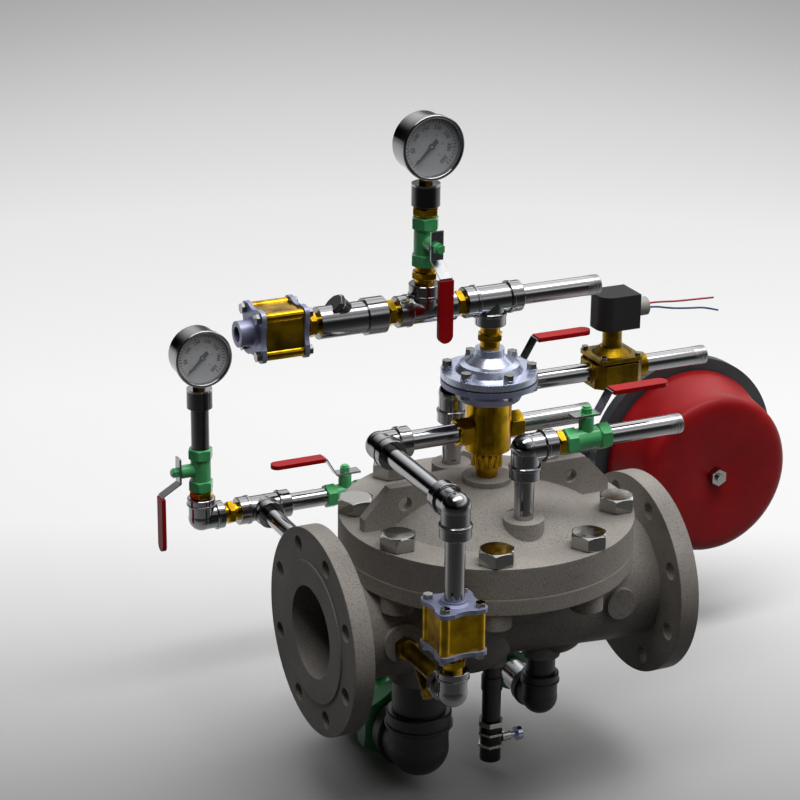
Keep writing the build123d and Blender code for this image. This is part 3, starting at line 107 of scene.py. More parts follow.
class Finish:
    # a material under construction: its nodes, its links and the shader that ends it

    def __init__(self, name):
        self.material = bpy.data.materials.new(name)
        self.material.use_nodes = True
        self.tree = self.material.node_tree
        self.shader = self.tree.nodes["Principled BSDF"]
        self.place = self.add("ShaderNodeTexCoord").outputs["Object"]

    def add(self, kind, **settings):
        node = self.tree.nodes.new(kind)
        for key, value in settings.items():
            setattr(node, key, value)
        return node

    def join(self, out, into):
        self.tree.links.new(out, into)

    def noise(self, scale, detail=3, stretch=(1, 1, 1), roughness=0.5):
        mapping = self.add("ShaderNodeMapping")
        mapping.inputs["Scale"].default_value = stretch
        self.join(self.place, mapping.inputs["Vector"])
        texture = self.add("ShaderNodeTexNoise")
        texture.inputs["Scale"].default_value = scale
        texture.inputs["Detail"].default_value = detail
        texture.inputs["Roughness"].default_value = roughness
        self.join(mapping.outputs["Vector"], texture.inputs["Vector"])
        return texture.outputs["Fac"]

    def span(self, value, low, high, start=0.3, end=0.7):
        node = self.add("ShaderNodeMapRange")
        node.inputs["From Min"].default_value = start
        node.inputs["From Max"].default_value = end
        node.inputs["To Min"].default_value = low
        node.inputs["To Max"].default_value = high
        self.join(value, node.inputs["Value"])
        return node.outputs["Result"]

    def blend(self, share, first, second):
        node = self.add("ShaderNodeMix", data_type="RGBA")
        for socket, value in ((node.inputs["A"], first), (node.inputs["B"], second)):
            if isinstance(value, tuple):
                socket.default_value = value
            else:
                self.join(value, socket)
        self.join(share, node.inputs["Factor"])
        return node.outputs["Result"]

    def sum(self, operation, first, second):
        node = self.add("ShaderNodeMath", operation=operation)
        for socket, value in zip(node.inputs, (first, second)):
            if isinstance(value, (int, float)):
                socket.default_value = value
            else:
                self.join(value, socket)
        return node.outputs["Value"]

    def axis(self, letter):
        node = self.tree.nodes.get("axes") or self.add("ShaderNodeSeparateXYZ", name="axes")
        if not node.inputs[0].is_linked:
            self.join(self.place, node.inputs[0])
        return node.outputs[letter]

    def above(self, letter, level):
        return self.sum("GREATER_THAN", self.axis(letter), level)

    def between(self, letter, low, high):
        below = self.sum("LESS_THAN", self.axis(letter), high)
        return self.sum("MULTIPLY", self.above(letter, low), below)

    def ramp(self, value, stops):
        # stops of position and colour, the position running 0 to 1
        node = self.add("ShaderNodeValToRGB")
        self.join(value, node.inputs["Fac"])
        line = node.color_ramp.elements
        for index, (position, tint) in enumerate(stops):
            stop = line[index] if index < 2 else line.new(position)
            stop.position = position
            stop.color = tint
        return node.outputs["Color"]

    def paint(self, colour):
        if isinstance(colour, tuple):
            self.shader.inputs["Base Color"].default_value = colour
        else:
            self.join(colour, self.shader.inputs["Base Color"])

    def set(self, **values):
        for key, value in values.items():
            socket = self.shader.inputs[key.replace("_", " ")]
            if isinstance(value, (int, float, tuple)):
                socket.default_value = value
            else:
                self.join(value, socket)

    def bump(self, height, depth, edge=0.0):
        # edge rounds the corners that light catches, in metres; depth is the bump's in metres
        node = self.add("ShaderNodeBump")
        node.inputs["Strength"].default_value = 1
        node.inputs["Distance"].default_value = depth
        self.join(height, node.inputs["Height"])
        if edge:
            self.join(self.edge(edge), node.inputs["Normal"])
        self.join(node.outputs["Normal"], self.shader.inputs["Normal"])

    def edge(self, radius):
        node = self.add("ShaderNodeBevel", samples=6)
        node.inputs["Radius"].default_value = radius
        return node.outputs["Normal"]


castIron = {
    "light": colour(180, 174, 167),
    "dark": colour(152, 146, 140),
    "pit": colour(102, 97, 92),
    "grain": 640,        # cast skin, in grains per metre
    "cloud": 9,
    "metal": 0.02,
    "rough": (0.34, 0.54),
    "shine": 0.04,
    "depth": 0.00042,
    "edge": 0.0014,
}


def castIronFinish(c):
    f = Finish("castIron")
    grain = f.noise(c["grain"], 3, roughness=0.6)
    cloud = f.noise(c["cloud"], 4)
    skin = f.blend(f.span(cloud, 0, 1), c["dark"], c["light"])
    f.paint(f.blend(f.span(grain, 0.7, 0, 0.3, 0.5), skin, c["pit"]))
    f.set(Metallic=c["metal"], Roughness=f.span(grain, *c["rough"]), Specular_IOR_Level=c["shine"])
    f.bump(grain, c["depth"], c["edge"])
    return f.material


brass = {
    "bright": colour(238, 190, 40),
    "dull": colour(142, 106, 14),
    "smear": 55,
    "turning": 900,      # tool marks, in marks per metre
    "rough": (0.12, 0.24),
    "depth": 0.00003,
    "edge": 0.0005,
}


def brassFinish(c):
    f = Finish("brass")
    smear = f.noise(c["smear"], 4)
    turning = f.noise(c["turning"], 2, (1, 1, 6))
    f.paint(f.blend(f.span(smear, 0, 1), c["dull"], c["bright"]))
    f.set(Metallic=1.0, Roughness=f.span(smear, *c["rough"]))
    f.bump(turning, c["depth"], c["edge"])
    return f.material


castBrass = {
    "bright": colour(160, 126, 22),
    "dull": colour(84, 66, 6),
    "smear": 60,
    "grain": 420,
    "rough": (0.26, 0.46),
    "depth": 0.0003,
    "edge": 0.0008,
}


def castBrassFinish(c):
    f = Finish("castBrass")
    grain = f.noise(c["grain"], 4, roughness=0.7)
    smear = f.noise(c["smear"], 4)
    f.paint(f.blend(f.span(smear, 0, 1), c["dull"], c["bright"]))
    f.set(Metallic=1.0, Roughness=f.span(grain, *c["rough"]))
    f.bump(grain, c["depth"], c["edge"])
    return f.material


chrome = {
    "tint": colour(168, 168, 170),
    "fitting": colour(150, 150, 152),
    "black": colour(84, 84, 87),
    "smear": 70,
    "draw": 420,         # drawing marks along the pipe
    "rough": (0.07, 0.15),
    "blackRougher": 0.12,
    "depth": 0.00002,
    "edge": 0.0007,
}


def chromeFinish(name, tint, black=None):
    # black says which stretch of the group is blackened steel
    c = chrome
    f = Finish(name)
    smear = f.noise(c["smear"], 3)
    draw = f.noise(c["draw"], 2, (0.15, 1, 1))
    gloss = f.span(smear, *c["rough"])
    if black:
        share = black(f)
        tint = f.blend(share, tint, c["black"])
        gloss = f.sum("ADD", gloss, f.sum("MULTIPLY", share, c["blackRougher"]))
    f.paint(tint)
    f.set(Metallic=1.0, Roughness=gloss)
    f.bump(draw, c["depth"], c["edge"])
    return f.material


def steelFinish(name, tint, rough):
    f = Finish(name)
    smear = f.noise(90, 3)
    f.paint(tint)
    f.set(Metallic=1.0, Roughness=f.span(smear, rough, rough + 0.12))
    f.bump(f.noise(700, 2), 0.000015, 0.0006)
    return f.material


def enamelFinish(name, light, dark, rough=0.22, edge=0.0009, orange=0.00006, coat=0.15, shine=0.4):
    # gloss paint with a slight orange-peel skin
    f = Finish(name)
    cloud = f.noise(24, 3)
    peel = f.noise(260, 2)
    f.paint(f.blend(f.span(cloud, 0, 1), dark, light))
    f.set(Roughness=f.span(cloud, rough, rough + 0.1), Specular_IOR_Level=shine)
    f.set(Coat_Weight=coat, Coat_Roughness=0.12)
    f.bump(peel, orange, edge)
    return f.material


def satinFinish(name, light, dark, metal, rough, grain=480, depth=0.00005):
    f = Finish(name)
    cloud = f.noise(40, 4)
    fine = f.noise(grain, 3)
    f.paint(f.blend(f.span(cloud, 0, 1), dark, light))
    f.set(Metallic=metal, Roughness=f.span(fine, rough, rough + 0.12))
    f.bump(fine, depth, 0.0007)
    return f.material


def clearFinish():
    f = Finish("gaugeGlass")
    f.paint(colour(235, 240, 245))
    f.set(Roughness=0.04, Alpha=0.12)
    f.bump(f.noise(30, 2), 0.00001)
    return f.material


# trim: where the grouped nodes change finish

sockets = {"air": 0.4, "column": 0.05, "line": 0.32, "rims": ((0.481, 0.4837), (0.16, 0.1627))}
unions = {"main": 0.0461, "side": 0.0311, "sideFrom": 0.25}
stems = {"air": (0.4836, 0.4925), "water": (0.1626, 0.1715)}


def blackSockets(f):
    # gauge sockets and the stand of the left gauge, with a bright rim on top of each socket
    column = f.sum("MULTIPLY", f.above("Z", sockets["column"]), f.above("Y", sockets["line"]))
    dark = f.sum("MAXIMUM", f.above("Z", sockets["air"]), column)
    for low, high in sockets["rims"]:
        dark = f.sum("SUBTRACT", dark, f.between("Z", low, high))
    return f.sum("MAXIMUM", dark, 0)


def blackIronFinish():
    # black painted iron, with the chromed union rings behind the elbows
    f = Finish("blackIron")
    grain = f.noise(420, 4)
    side = f.sum("MULTIPLY", f.above("X", unions["sideFrom"]), f.above("Y", unions["side"]))
    ring = f.sum("MAXIMUM", f.above("Y", unions["main"]), side)
    f.paint(f.blend(ring, colour(24, 24, 25), chrome["tint"]))
    f.set(Metallic=ring, Roughness=f.sum("SUBTRACT", 0.44, f.sum("MULTIPLY", ring, 0.28)))
    f.bump(grain, 0.00012, 0.0012)
    return f.material


drip = {"socket": 0.2335, "rings": ((-0.156, -0.15), (-0.167, -0.164), (-0.1815, -0.1784))}


def dripFinish(c):
    # blackened brass with three bright rings, and a pale socket round the push rod
    f = Finish("dripBody")
    grain = f.noise(500, 3)
    bright = f.above("X", c["socket"])
    for low, high in c["rings"]:
        bright = f.sum("MAXIMUM", bright, f.between("Z", low, high))
    f.paint(f.blend(bright, colour(50, 49, 48), colour(206, 204, 196)))
    f.set(Metallic=0.9, Roughness=f.span(grain, 0.22, 0.36))
    f.bump(grain, 0.00005, 0.0005)
    return f.material


def gaugeCaseFinish():
    f = Finish("gaugeCase")
    smear = f.noise(60, 3)
    low = f.sum("LESS_THAN", f.axis("Z"), stems["air"][1])
    air = f.sum("MULTIPLY", low, f.above("Z", stems["air"][0]))
    low = f.sum("LESS_THAN", f.axis("Z"), stems["water"][1])
    water = f.sum("MULTIPLY", low, f.above("Z", stems["water"][0]))
    f.paint(f.blend(f.sum("MAXIMUM", air, water), chrome["fitting"], brass["dull"]))
    f.set(Metallic=1.0, Roughness=f.span(smear, 0.1, 0.2))
    f.bump(f.noise(500, 2), 0.00001, 0.0006)
    return f.material


def leverFinish(name, centre, along, plateTop):
    # bright strip, with the green cap nut that stands on it around the stem
    f = Finish(name)
    smear = f.noise(80, 3)
    shift = f.add("ShaderNodeVectorMath", operation="SUBTRACT")
    shift.inputs[1].default_value = centre
    f.join(f.place, shift.inputs[0])
    height = f.add("ShaderNodeVectorMath", operation="DOT_PRODUCT")
    height.inputs[1].default_value = along
    f.join(shift.outputs["Vector"], height.inputs[0])
    length = f.add("ShaderNodeVectorMath", operation="LENGTH")
    f.join(shift.outputs["Vector"], length.inputs[0])
    square = f.sum("POWER", length.outputs["Value"], 2.0)
    away = f.sum("SUBTRACT", square, f.sum("POWER", height.outputs["Value"], 2.0))
    near = f.sum("LESS_THAN", away, 0.009**2)
    cap = f.sum("MULTIPLY", near, f.sum("GREATER_THAN", height.outputs["Value"], plateTop))
    f.paint(f.blend(cap, colour(158, 158, 160), colour(84, 184, 116)))
    f.set(Metallic=f.sum("SUBTRACT", 1.0, cap), Roughness=f.span(smear, 0.2, 0.34))
    f.bump(f.noise(600, 2, (1, 1, 1)), 0.00002, 0.0004)
    return f.material


def wear(material, *names):
    for name in names:
        slots = nodes[name].data.materials
        slots.clear()
        slots.append(material)


handleNames = ("air_gauge", "water_gauge", "release", "solenoid", "alarm_test", "main_drain", "side_drain")
# height of each lever plate over its valve's axis, where the cap nut starts
plateTops = {"main_drain": 0.06564, "side_drain": 0.0418}
plateTop = 0.0288

wear(castIronFinish(castIron), "valve_body", "valve_cover")
wear(steelFinish("boltSteel", colour(160, 159, 156), 0.07), "cover_bolts", "small_fasteners")
wear(satinFinish("gasketFibre", colour(222, 219, 210), colour(190, 186, 176), 0.0, 0.7), "cover_gasket")
wear(brassFinish(brass), "relay_body", "hex_nipples", "check_housings")
wear(castBrassFinish(castBrass), "strainer_body", "strainer_cap", "solenoid_body")
wear(
    satinFinish("turnedBronze", colour(190, 150, 80), colour(150, 110, 60), 1.0, 0.3),
    "seat_ring",
    "air_check_poppet",
    "riser_check_poppet",
    "y_check_disc",
)
wear(
    steelFinish("innerSteel", colour(170, 170, 172), 0.25),
    "main_piston",
    "main_spring",
    "relay_plunger",
    "strainer_screen",
    "solenoid_core",
    "drip_ball",
)
wear(
    satinFinish("paleBlueChrome", colour(206, 212, 234), colour(190, 198, 222), 0.75, 0.2, 60, 0.0001),
    "relay_bonnet",
)
wear(satinFinish("paleBlueCast", colour(164, 168, 200), colour(146, 150, 184), 0.6, 0.34), "relay_bowl")
wear(satinFinish("plateBlue", colour(158, 162, 192), colour(142, 146, 176), 0.5, 0.36), "check_end_plates")
wear(satinFinish("diaphragmRubber", colour(28, 28, 30), colour(20, 20, 22), 0.0, 0.55), "relay_diaphragm")
wear(chromeFinish("chromePipe", chrome["tint"], blackSockets), "trim_pipes")
wear(chromeFinish("chromeFitting", chrome["fitting"]), "trim_elbows", "trim_tees", "y_check_body")
wear(
    enamelFinish("greenEnamel", colour(92, 194, 124), colour(70, 168, 100)),
    "trim_valve_bodies",
    "drain_valve_bodies",
)
wear(blackIronFinish(), "drain_pipes")
wear(dripFinish(drip), "drip_valve_body")
wear(gaugeCaseFinish(), "gauge_cases")
wear(satinFinish("dialFace", colour(222, 222, 224), colour(212, 212, 214), 0.0, 0.5), "gauge_dials")
wear(clearFinish(), "gauge_lenses")
wear(
    satinFinish("pointerBlack", colour(30, 30, 32), colour(22, 22, 24), 0.0, 0.4),
    "air_gauge_pointer",
    "water_gauge_pointer",
)
wear(satinFinish("coilPlastic", colour(36, 36, 37), colour(28, 28, 29), 0.0, 0.62), "solenoid_coil")
wear(satinFinish("glandGrey", colour(176, 174, 164), colour(156, 154, 146), 0.0, 0.45), "wire_gland")
wear(
    enamelFinish("gongRed", colour(176, 30, 34), colour(150, 20, 24), 0.34, 0.002, coat=0.0, shine=0.2),
    "gong_bell",
)
wear(
    enamelFinish("gongGrey", colour(78, 82, 86), colour(64, 68, 72), 0.35, 0.001),
    "gong_bracket",
    "gong_striker",
)
wear(steelFinish("knobAluminium", colour(196, 200, 224), 0.2), "drip_knob")
gripRed = enamelFinish("gripRed", colour(184, 8, 18), colour(162, 5, 12), 0.4, 0.0012, 0.00004, 0.0, 0.2)
for name in handleNames:
    wear(gripRed, f"{name}_grip")
for joint in frame["joints"]:
    name = joint["name"].removesuffix("_turn")
    if name in handleNames:
        low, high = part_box(f"{name}_lever")
        centre = Vector(joint["pos_m"])
        along = Vector([abs(v) for v in joint["axis"]])
        if (low + high) / 2 @ along < centre @ along:
            along = -along
        top = plateTops.get(name, plateTop)
        wear(leverFinish(f"lever {name}", centre, along, top), f"{name}_lever")
print("finishes on every node")


# surfaces by rule


def gridMesh(name, points, material):
    # points is an array of rows, columns and xyz; both close on themselves
    rows, columns = points.shape[:2]
    down = np.arange(rows)[:, None]
    across = np.arange(columns)[None, :]
    right = (across + 1) % columns
    below = (down + 1) % rows
    top, bottom = down * columns, below * columns
    faces = np.stack([top + across, top + right, bottom + right, bottom + across], -1).reshape(-1, 4)
    mesh = bpy.data.meshes.new(name)
    mesh.from_pydata(points.reshape(-1, 3), [], faces.tolist())
    mesh.shade_smooth()
    mesh.materials.append(material)
    piece = bpy.data.objects.new(name, mesh)
    bpy.context.scene.collection.objects.link(piece)
    return piece


def turnedRing(name, centre, way, profile, material, turns=96, twist=None):
    # a profile of distance d and radius r, swept round the way:
    # p = centre + d * way + r * (cos t * u + sin t * v)
    way = np.array(way, float)
    helper = np.array((0.0, 0.0, 1.0)) if abs(way[2]) < 0.5 else np.array((1.0, 0.0, 0.0))
    u = np.cross(helper, way)
    v = np.cross(way, u)
    angle = np.linspace(0, 2 * np.pi, turns, endpoint=False)
    along, radius = np.array(profile, float).T
    radius = np.repeat(radius[:, None], turns, 1)
    if twist:
        radius = twist(along[:, None], radius, angle[None, :])
    ring = np.cos(angle)[:, None] * u + np.sin(angle)[:, None] * v
    points = np.array(centre, float) + along[:, None, None] * way + radius[:, :, None] * ring
    return gridMesh(name, points, material)


# threads cut on the four free pipe ends

threads = {
    "radius": 0.01065,
    "height": 0.00042,
    "pitch": 0.0018,
    "length": 0.0165,
    "inside": 0.0012,
    "steps": 110,
    "fade": 1.6,         # how soon the thread dies out towards the pipe
    "ends": {
        "air": (0.3355, 0.0, 0.348),
        "relay": (0.3305, 0.0, 0.2021),
        "release": (0.3935, -0.0865, 0.21),
        "solenoid": (0.5286, 0.0865, 0.213),
    },
}


def cutThreads(t):
    # r = radius + height * fade * wave(along / pitch - angle / 2 pi), on a closed sleeve in the pipe's wall
    material = steelFinish("threadSteel", chrome["tint"], 0.2)
    along = np.linspace(0, t["length"], t["steps"])
    outer = np.full_like(along, t["radius"])
    closing = [(t["length"], t["radius"] - t["inside"]), (0, t["radius"] - t["inside"])]
    profile = np.vstack([np.stack([along, outer], -1), closing])

    def wave(along, radius, angle):
        phase = along / t["pitch"] - angle / (2 * np.pi)
        crest = 1 - np.abs(2 * (phase % 1) - 1)
        fade = np.clip((t["length"] - along) / t["length"] * t["fade"], 0, 1)
        fade *= np.clip(along / t["pitch"], 0, 1)
        return radius + np.where(radius < t["radius"], 0, t["height"] * crest * fade)

    for name, (x, y, z) in t["ends"].items():
        sleeve = turnedRing(f"{name}Threads", (x, y, z), (-1, 0, 0), profile, material, 72, wave)
        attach(sleeve, "valve")


cutThreads(threads)
print("pipe ends threaded")


# gauge faces: rounded bezel, ticks and plain numbers

gauge = {
    "sweep": 270,
    "start": 225,          # degrees from the top, the way of the clock, where the scale starts
    "face": 0.00595,       # printed face behind the front of the case, where the pointer's axis is given
    "bezel": (0.0307, 0.0346, 0.0016),     # inner and outer radius, and how far it stands proud
    "section": 24,
    # steps between numbers, parts of a step, and what a step adds; the rest are radii and sizes
    "scales": {
        "Scale": {
            "steps": 7, "parts": 5, "apart": 50,
            "ring": 0.0282, "long": 0.0044, "short": 0.0026, "wide": 0.00085,
            "numbers": 0.0202, "size": 0.006,
            "ink": "ink", "tint": colour(24, 24, 26), "slot": "pointer",
        },
        "RedScale": {
            "steps": 5, "parts": 4, "apart": 5,
            "ring": 0.0158, "long": 0.0016, "short": 0.0008, "wide": 0.0003,
            "numbers": 0.0124, "size": 0.0021,
            "ink": "red", "tint": colour(150, 40, 40), "slot": "dial",
        },
    },
    "bold": 0.025,         # how much a number's outline grows, as a share of its size
}


def flatPrint(name, pieces, material):
    # flat quads in the dial's plane: corners x, z about the pointer's axis
    corners = np.array(pieces, float).reshape(-1, 2)
    mesh = bpy.data.meshes.new(name)
    points = np.stack([corners[:, 0], np.zeros(len(corners)), corners[:, 1]], -1)
    faces = np.arange(len(corners)).reshape(-1, 4)
    mesh.from_pydata(points, [], faces.tolist())
    mesh.materials.append(material)
    return mesh


def scaleAngle(g, share):
    # clockwise from the top, in radians
    return math.radians(g["start"] + share * g["sweep"])


def tickMarks(g, scale):
    marks = []
    count = scale["steps"] * scale["parts"]
    for k in range(count + 1):
        turn = scaleAngle(g, k / count)
        way = np.array((math.sin(turn), math.cos(turn)))
        side = np.array((way[1], -way[0])) * scale["wide"] / 2
        reach = scale["long"] if k % scale["parts"] == 0 else scale["short"]
        outer, inner = way * scale["ring"], way * (scale["ring"] - reach)
        marks.append((outer - side, inner - side, inner + side, outer + side))
    return marks


def numberMesh(text, size):
    # outline of a plain number, centred on the origin and flat on XZ
    curve = bpy.data.curves.new(f"number {text}", "FONT")
    curve.body = text
    curve.size = size
    curve.offset = size * gauge["bold"]
    curve.align_x = "CENTER"
    curve.align_y = "CENTER"
    holder = bpy.data.objects.new(f"number {text}", curve)
    mesh = bpy.data.meshes.new_from_object(holder)
    bpy.data.objects.remove(holder)
    bpy.data.curves.remove(curve)
    mesh.transform(Matrix.Rotation(math.radians(90), 4, "X"))
    return mesh


def joinMeshes(name, meshes, material, place):
    points, faces = [], []
    for mesh in meshes:
        base = len(points)
        points += [tuple(corner.co) for corner in mesh.vertices]
        faces += [[base + index for index in face.vertices] for face in mesh.polygons]
    whole = bpy.data.meshes.new(name)
    whole.from_pydata((np.array(points) + np.array(place)).tolist(), [], faces)
    whole.materials.append(material)
    piece = bpy.data.objects.new(name, whole)
    bpy.context.scene.collection.objects.link(piece)
    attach(piece, "valve")
    return piece


def printDial(g, name, axis):
    face = Vector(axis) + Vector((0, g["face"], 0))
    for piece, scale in g["scales"].items():
        ink = satinFinish(f"{name} {scale['ink']}", scale["tint"], scale["tint"], 0.0, 0.5)
        marks = [flatPrint("ticks", tickMarks(g, scale), ink)]
        for k in range(scale["steps"] + 1):
            turn = scaleAngle(g, k / scale["steps"])
            mesh = numberMesh(str(scale["apart"] * k), scale["size"])
            # a number stands across its spoke
            mesh.transform(Matrix.Rotation(turn, 4, "Y"))
            spoke = Vector((math.sin(turn), 0, math.cos(turn)))
            mesh.transform(Matrix.Translation(spoke * scale["numbers"]))
            marks.append(mesh)
        joinMeshes(f"{name}{piece}", marks, ink, face)


def roundBezel(g, name, axis):
    # a ring of flattened round section, half sunk in the case's front
    inner, outer, proud = g["bezel"]
    middle, half = (inner + outer) / 2, (outer - inner) / 2
    turn = np.linspace(0, 2 * np.pi, g["section"], endpoint=False)
    profile = np.stack([proud * np.sin(turn), middle + half * np.cos(turn)], -1)
    ring = turnedRing(f"{name}Bezel", axis, (0, -1, 0), profile, bezelSteel)
    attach(ring, "valve")


bezelSteel = steelFinish("bezelSteel", chrome["tint"], 0.1)
for joint in frame["joints"]:
    if joint["name"].endswith("_reading"):
        name = joint["name"].removesuffix("_reading")
        roundBezel(gauge, name, joint["pos_m"])
        printDial(gauge, name, joint["pos_m"])
print("gauges printed")


# bell of the gong, turned to the photo's fuller shoulder

bell = {
    "wall": (0.003, 0.0025),     # along the axis and across it
    "turns": 160,
    # distance behind the front and radius
    "outline": (
        (0.0, 0.0052), (0.0, 0.0125), (-0.0015, 0.022), (-0.0035, 0.04), (-0.004, 0.06), (-0.0042, 0.078),
        (-0.004, 0.088), (-0.0028, 0.0945), (0.0, 0.0988), (0.004, 0.101), (0.01, 0.1022), (0.018, 0.103),
        (0.03, 0.1045), (0.048, 0.1075), (0.062, 0.1105), (0.071, 0.113),
    ),
}


def turnBell(b):
    # outline run there on the outside and back on the inside, one wall further in
    low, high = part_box("gong_bell")
    front = np.array(b["outline"])
    depth, inwards = b["wall"]
    inside = np.stack([np.minimum(front[:, 0] + depth, front[-1, 0]), front[:, 1] - inwards], -1)
    inside[0, 1] = front[0, 1]
    centre = ((low.x + high.x) / 2, low.y, (low.z + high.z) / 2)
    paint = nodes["gong_bell"].data.materials[0]
    profile = np.vstack([front, inside[::-1]])
    shell = turnedRing("bell", centre, (0, 1, 0), profile, paint, b["turns"])
    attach(shell, "valve")
    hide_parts("gong_bell")


turnBell(bell)
print("bell turned")


# leads out of the gland

leads = {
    "spacing": 0.005,
    "diameter": 0.0022,
    "red": [
        (0, 0, 0), (0.014, 0, 0), (0.038, 0, -0.0026), (0.064, -0.001, -0.0032), (0.088, -0.002, -0.0038),
    ],
    "blue": [
        (0, 0, 0), (0.012, 0, 0), (0.034, 0, -0.0054), (0.06, -0.001, -0.0082), (0.078, -0.001, -0.0096),
        (0.095, -0.002, -0.015),
    ],
}


def addLead(name, side, tint):
    low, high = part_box("wire_gland")
    start = Vector((high.x, (low.y + high.y) / 2, (low.z + high.z) / 2 + side * leads["spacing"] / 2))
    points = [start + Vector(step) for step in leads[name]]
    curve = bpy.data.curves.new(f"{name}Lead", "CURVE")
    curve.dimensions = "3D"
    spline = curve.splines.new("NURBS")
    spline.points.add(len(points) - 1)
    for spot, point in zip(spline.points, points):
        spot.co = (*point, 1)
    spline.order_u = 3
    spline.use_endpoint_u = True
    curve.bevel_depth = leads["diameter"] / 2
    curve.bevel_resolution = 6
    curve.resolution_u = 16
    curve.use_fill_caps = True
    lead = bpy.data.objects.new(f"{name}Lead", curve)
    bpy.context.scene.collection.objects.link(lead)
    curve.materials.append(satinFinish(f"{name}Insulation", tint, tint, 0.0, 0.35))
    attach(lead, "valve")
    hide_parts(f"{name}_lead")


addLead("red", 1, colour(190, 60, 56))
addLead("blue", -1, colour(40, 92, 150))
print("leads laid")


# floor, lights and sky

studio = {
    "floorDrop": 0.003,      # below the lowest part
    "floorSize": 30,
    "bounce": colour(46, 46, 47),     # the floor as it lights the underside
    # how bright the floor is by its distance from the camera, in metres; painted light and shade, palest in
    # a band and darker near the camera and far off
    "sweep": (
        (1.6, 65), (2.1, 90), (2.5, 165), (2.8, 200), (3.3, 245), (3.8, 254), (4.9, 254),
        (5.7, 240), (6.8, 212), (8, 185),
    ),
    "level": 3.8,            # metres to the palest stretch
    "levelFade": 1.4,        # metres past it over which the side counts more and more
    # painted shade: past the palest stretch the floor darkens towards its sides
    "vignette": 0.5,         # metres that a metre to the side counts as further away, squared
    "bendMost": 0.6,
    "key": 52,
    "keyPlace": (0.4, -0.5, 2.9),
    "keySize": (3.2, 1.0),
    "fill": 0.5,
    "fillPlace": (1.5, -2.4, 1.7),
    "fillSize": (0.7, 0.7),
    "sky": 1.3,
    "skyStops": ((0.0, 0.05), (0.28, 0.1), (0.4, 0.7), (0.52, 1.2), (0.66, 0.6), (0.8, 1.1), (1.0, 1.8)),
    "back": (0.3, 1.45),     # share of the sky behind the camera and behind the valve
    "right": (0.02, 1.7),    # share of the sky at the left and at the right
    "leftDark": -0.4,        # where the dark left side ends, 0 being the middle
}


def areaLight(name, place, size, power, target):
    data = bpy.data.lights.new(name, "AREA")
    data.shape = "RECTANGLE"
    data.size, data.size_y = size
    data.energy = power
    light = bpy.data.objects.new(name, data)
    bpy.context.scene.collection.objects.link(light)
    light.location = place
    light.rotation_euler = (Vector(target) - Vector(place)).to_track_quat("-Z", "Y").to_euler()


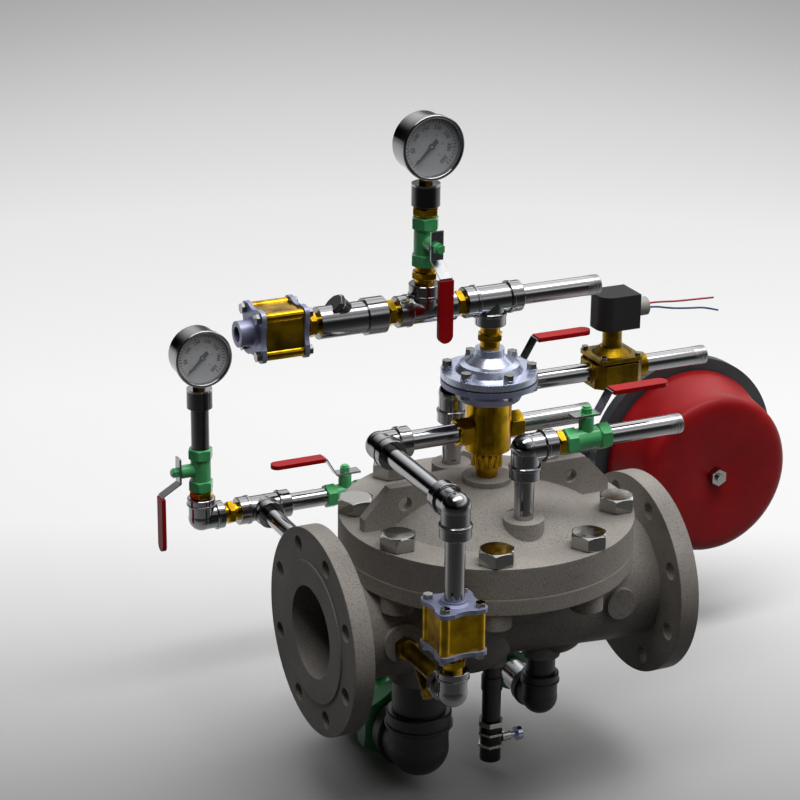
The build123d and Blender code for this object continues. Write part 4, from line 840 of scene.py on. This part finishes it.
def layFloor(s):
    low = cadBox[0]
    size = s["floorSize"]
    mesh = bpy.data.meshes.new("floor")
    level = low[2] - s["floorDrop"]
    corners = [(-size, -size, level), (size, -size, level), (size, size, level), (-size, size, level)]
    mesh.from_pydata(corners, [], [(0, 1, 2, 3)])
    floor = bpy.data.objects.new("floor", mesh)
    bpy.context.scene.collection.objects.link(floor)
    f = Finish("floorPaint")
    turn = math.radians(-camera["turn"])
    ahead, aside = (math.sin(turn), math.cos(turn)), (math.cos(turn), -math.sin(turn))

    def along(way):
        # distance from the camera over the floor, x * way.x + y * way.y less the camera's own
        x = f.sum("MULTIPLY", f.axis("X"), way[0])
        y = f.sum("MULTIPLY", f.axis("Y"), way[1])
        own = camera["place"][0] * way[0] + camera["place"][1] * way[1]
        return f.sum("SUBTRACT", f.sum("ADD", x, y), own)

    # painted shade on the floor: past the palest stretch, distance to the side counts as further away, so
    # the far sides come out darker
    side = along(aside)
    bend = f.sum("MULTIPLY", f.sum("MULTIPLY", side, side), s["vignette"])
    bend = f.sum("MINIMUM", bend, s["bendMost"])
    past = f.span(along(ahead), 0, 1, s["level"], s["level"] + s["levelFade"])
    distance = f.sum("ADD", along(ahead), f.sum("MULTIPLY", bend, past))
    low, high = s["sweep"][0][0], s["sweep"][-1][0]
    stops = [((place - low) / (high - low), colour(level, level, level)) for place, level in s["sweep"]]
    # painted light and shade on the floor, seen by camera, glossy and transmission rays; other rays see the
    # dark bounce colour
    seen = f.ramp(f.span(distance, 0, 1, low, high), stops)
    path = f.add("ShaderNodeLightPath")
    direct = f.sum("ADD", path.outputs["Is Camera Ray"], path.outputs["Is Glossy Ray"])
    direct = f.sum("ADD", direct, path.outputs["Is Transmission Ray"])
    f.paint(f.blend(direct, s["bounce"], seen))
    f.set(Roughness=0.8, Specular_IOR_Level=0.0)
    mesh.materials.append(f.material)


def setSky(s):
    # brightness by height, times one share that grows to the back and one that grows to the right;
    # a ramp's colour stops at 1, so the ramp holds half the light and the first share doubles it
    world = bpy.data.worlds.new("sky")
    world.use_nodes = True
    bpy.context.scene.world = world
    tree = world.node_tree
    back = tree.nodes["Background"]
    back.inputs["Strength"].default_value = s["sky"]
    way = tree.nodes.new("ShaderNodeTexCoord")
    split = tree.nodes.new("ShaderNodeSeparateXYZ")
    ramp = tree.nodes.new("ShaderNodeValToRGB")
    tree.links.new(way.outputs["Generated"], split.inputs[0])
    tree.links.new(split.outputs["Z"], ramp.inputs["Fac"])
    line = ramp.color_ramp.elements
    for index, (position, level) in enumerate(s["skyStops"]):
        stop = line[index] if index < 2 else line.new(position)
        stop.position = position
        stop.color = (level / 2, level / 2, level / 2, 1)
    light = ramp.outputs["Color"]
    for axis, start, (low, high), double in (("Y", -1, s["back"], 2), ("X", s["leftDark"], s["right"], 1)):
        share = tree.nodes.new("ShaderNodeMapRange")
        share.inputs["From Min"].default_value = start
        share.inputs["To Min"].default_value = double * low
        share.inputs["To Max"].default_value = double * high
        tree.links.new(split.outputs[axis], share.inputs["Value"])
        scale = tree.nodes.new("ShaderNodeVectorMath")
        scale.operation = "SCALE"
        tree.links.new(light, scale.inputs[0])
        tree.links.new(share.outputs["Result"], scale.inputs["Scale"])
        light = scale.outputs["Vector"]
    tree.links.new(light, back.inputs["Color"])


middle = [(a + b) / 2 for a, b in zip(*cadBox)]
layFloor(studio)
setSky(studio)
areaLight("key", studio["keyPlace"], studio["keySize"], studio["key"], middle)
areaLight("fill", studio["fillPlace"], studio["fillSize"], studio["fill"], middle)
print("floor, sky and lights set")
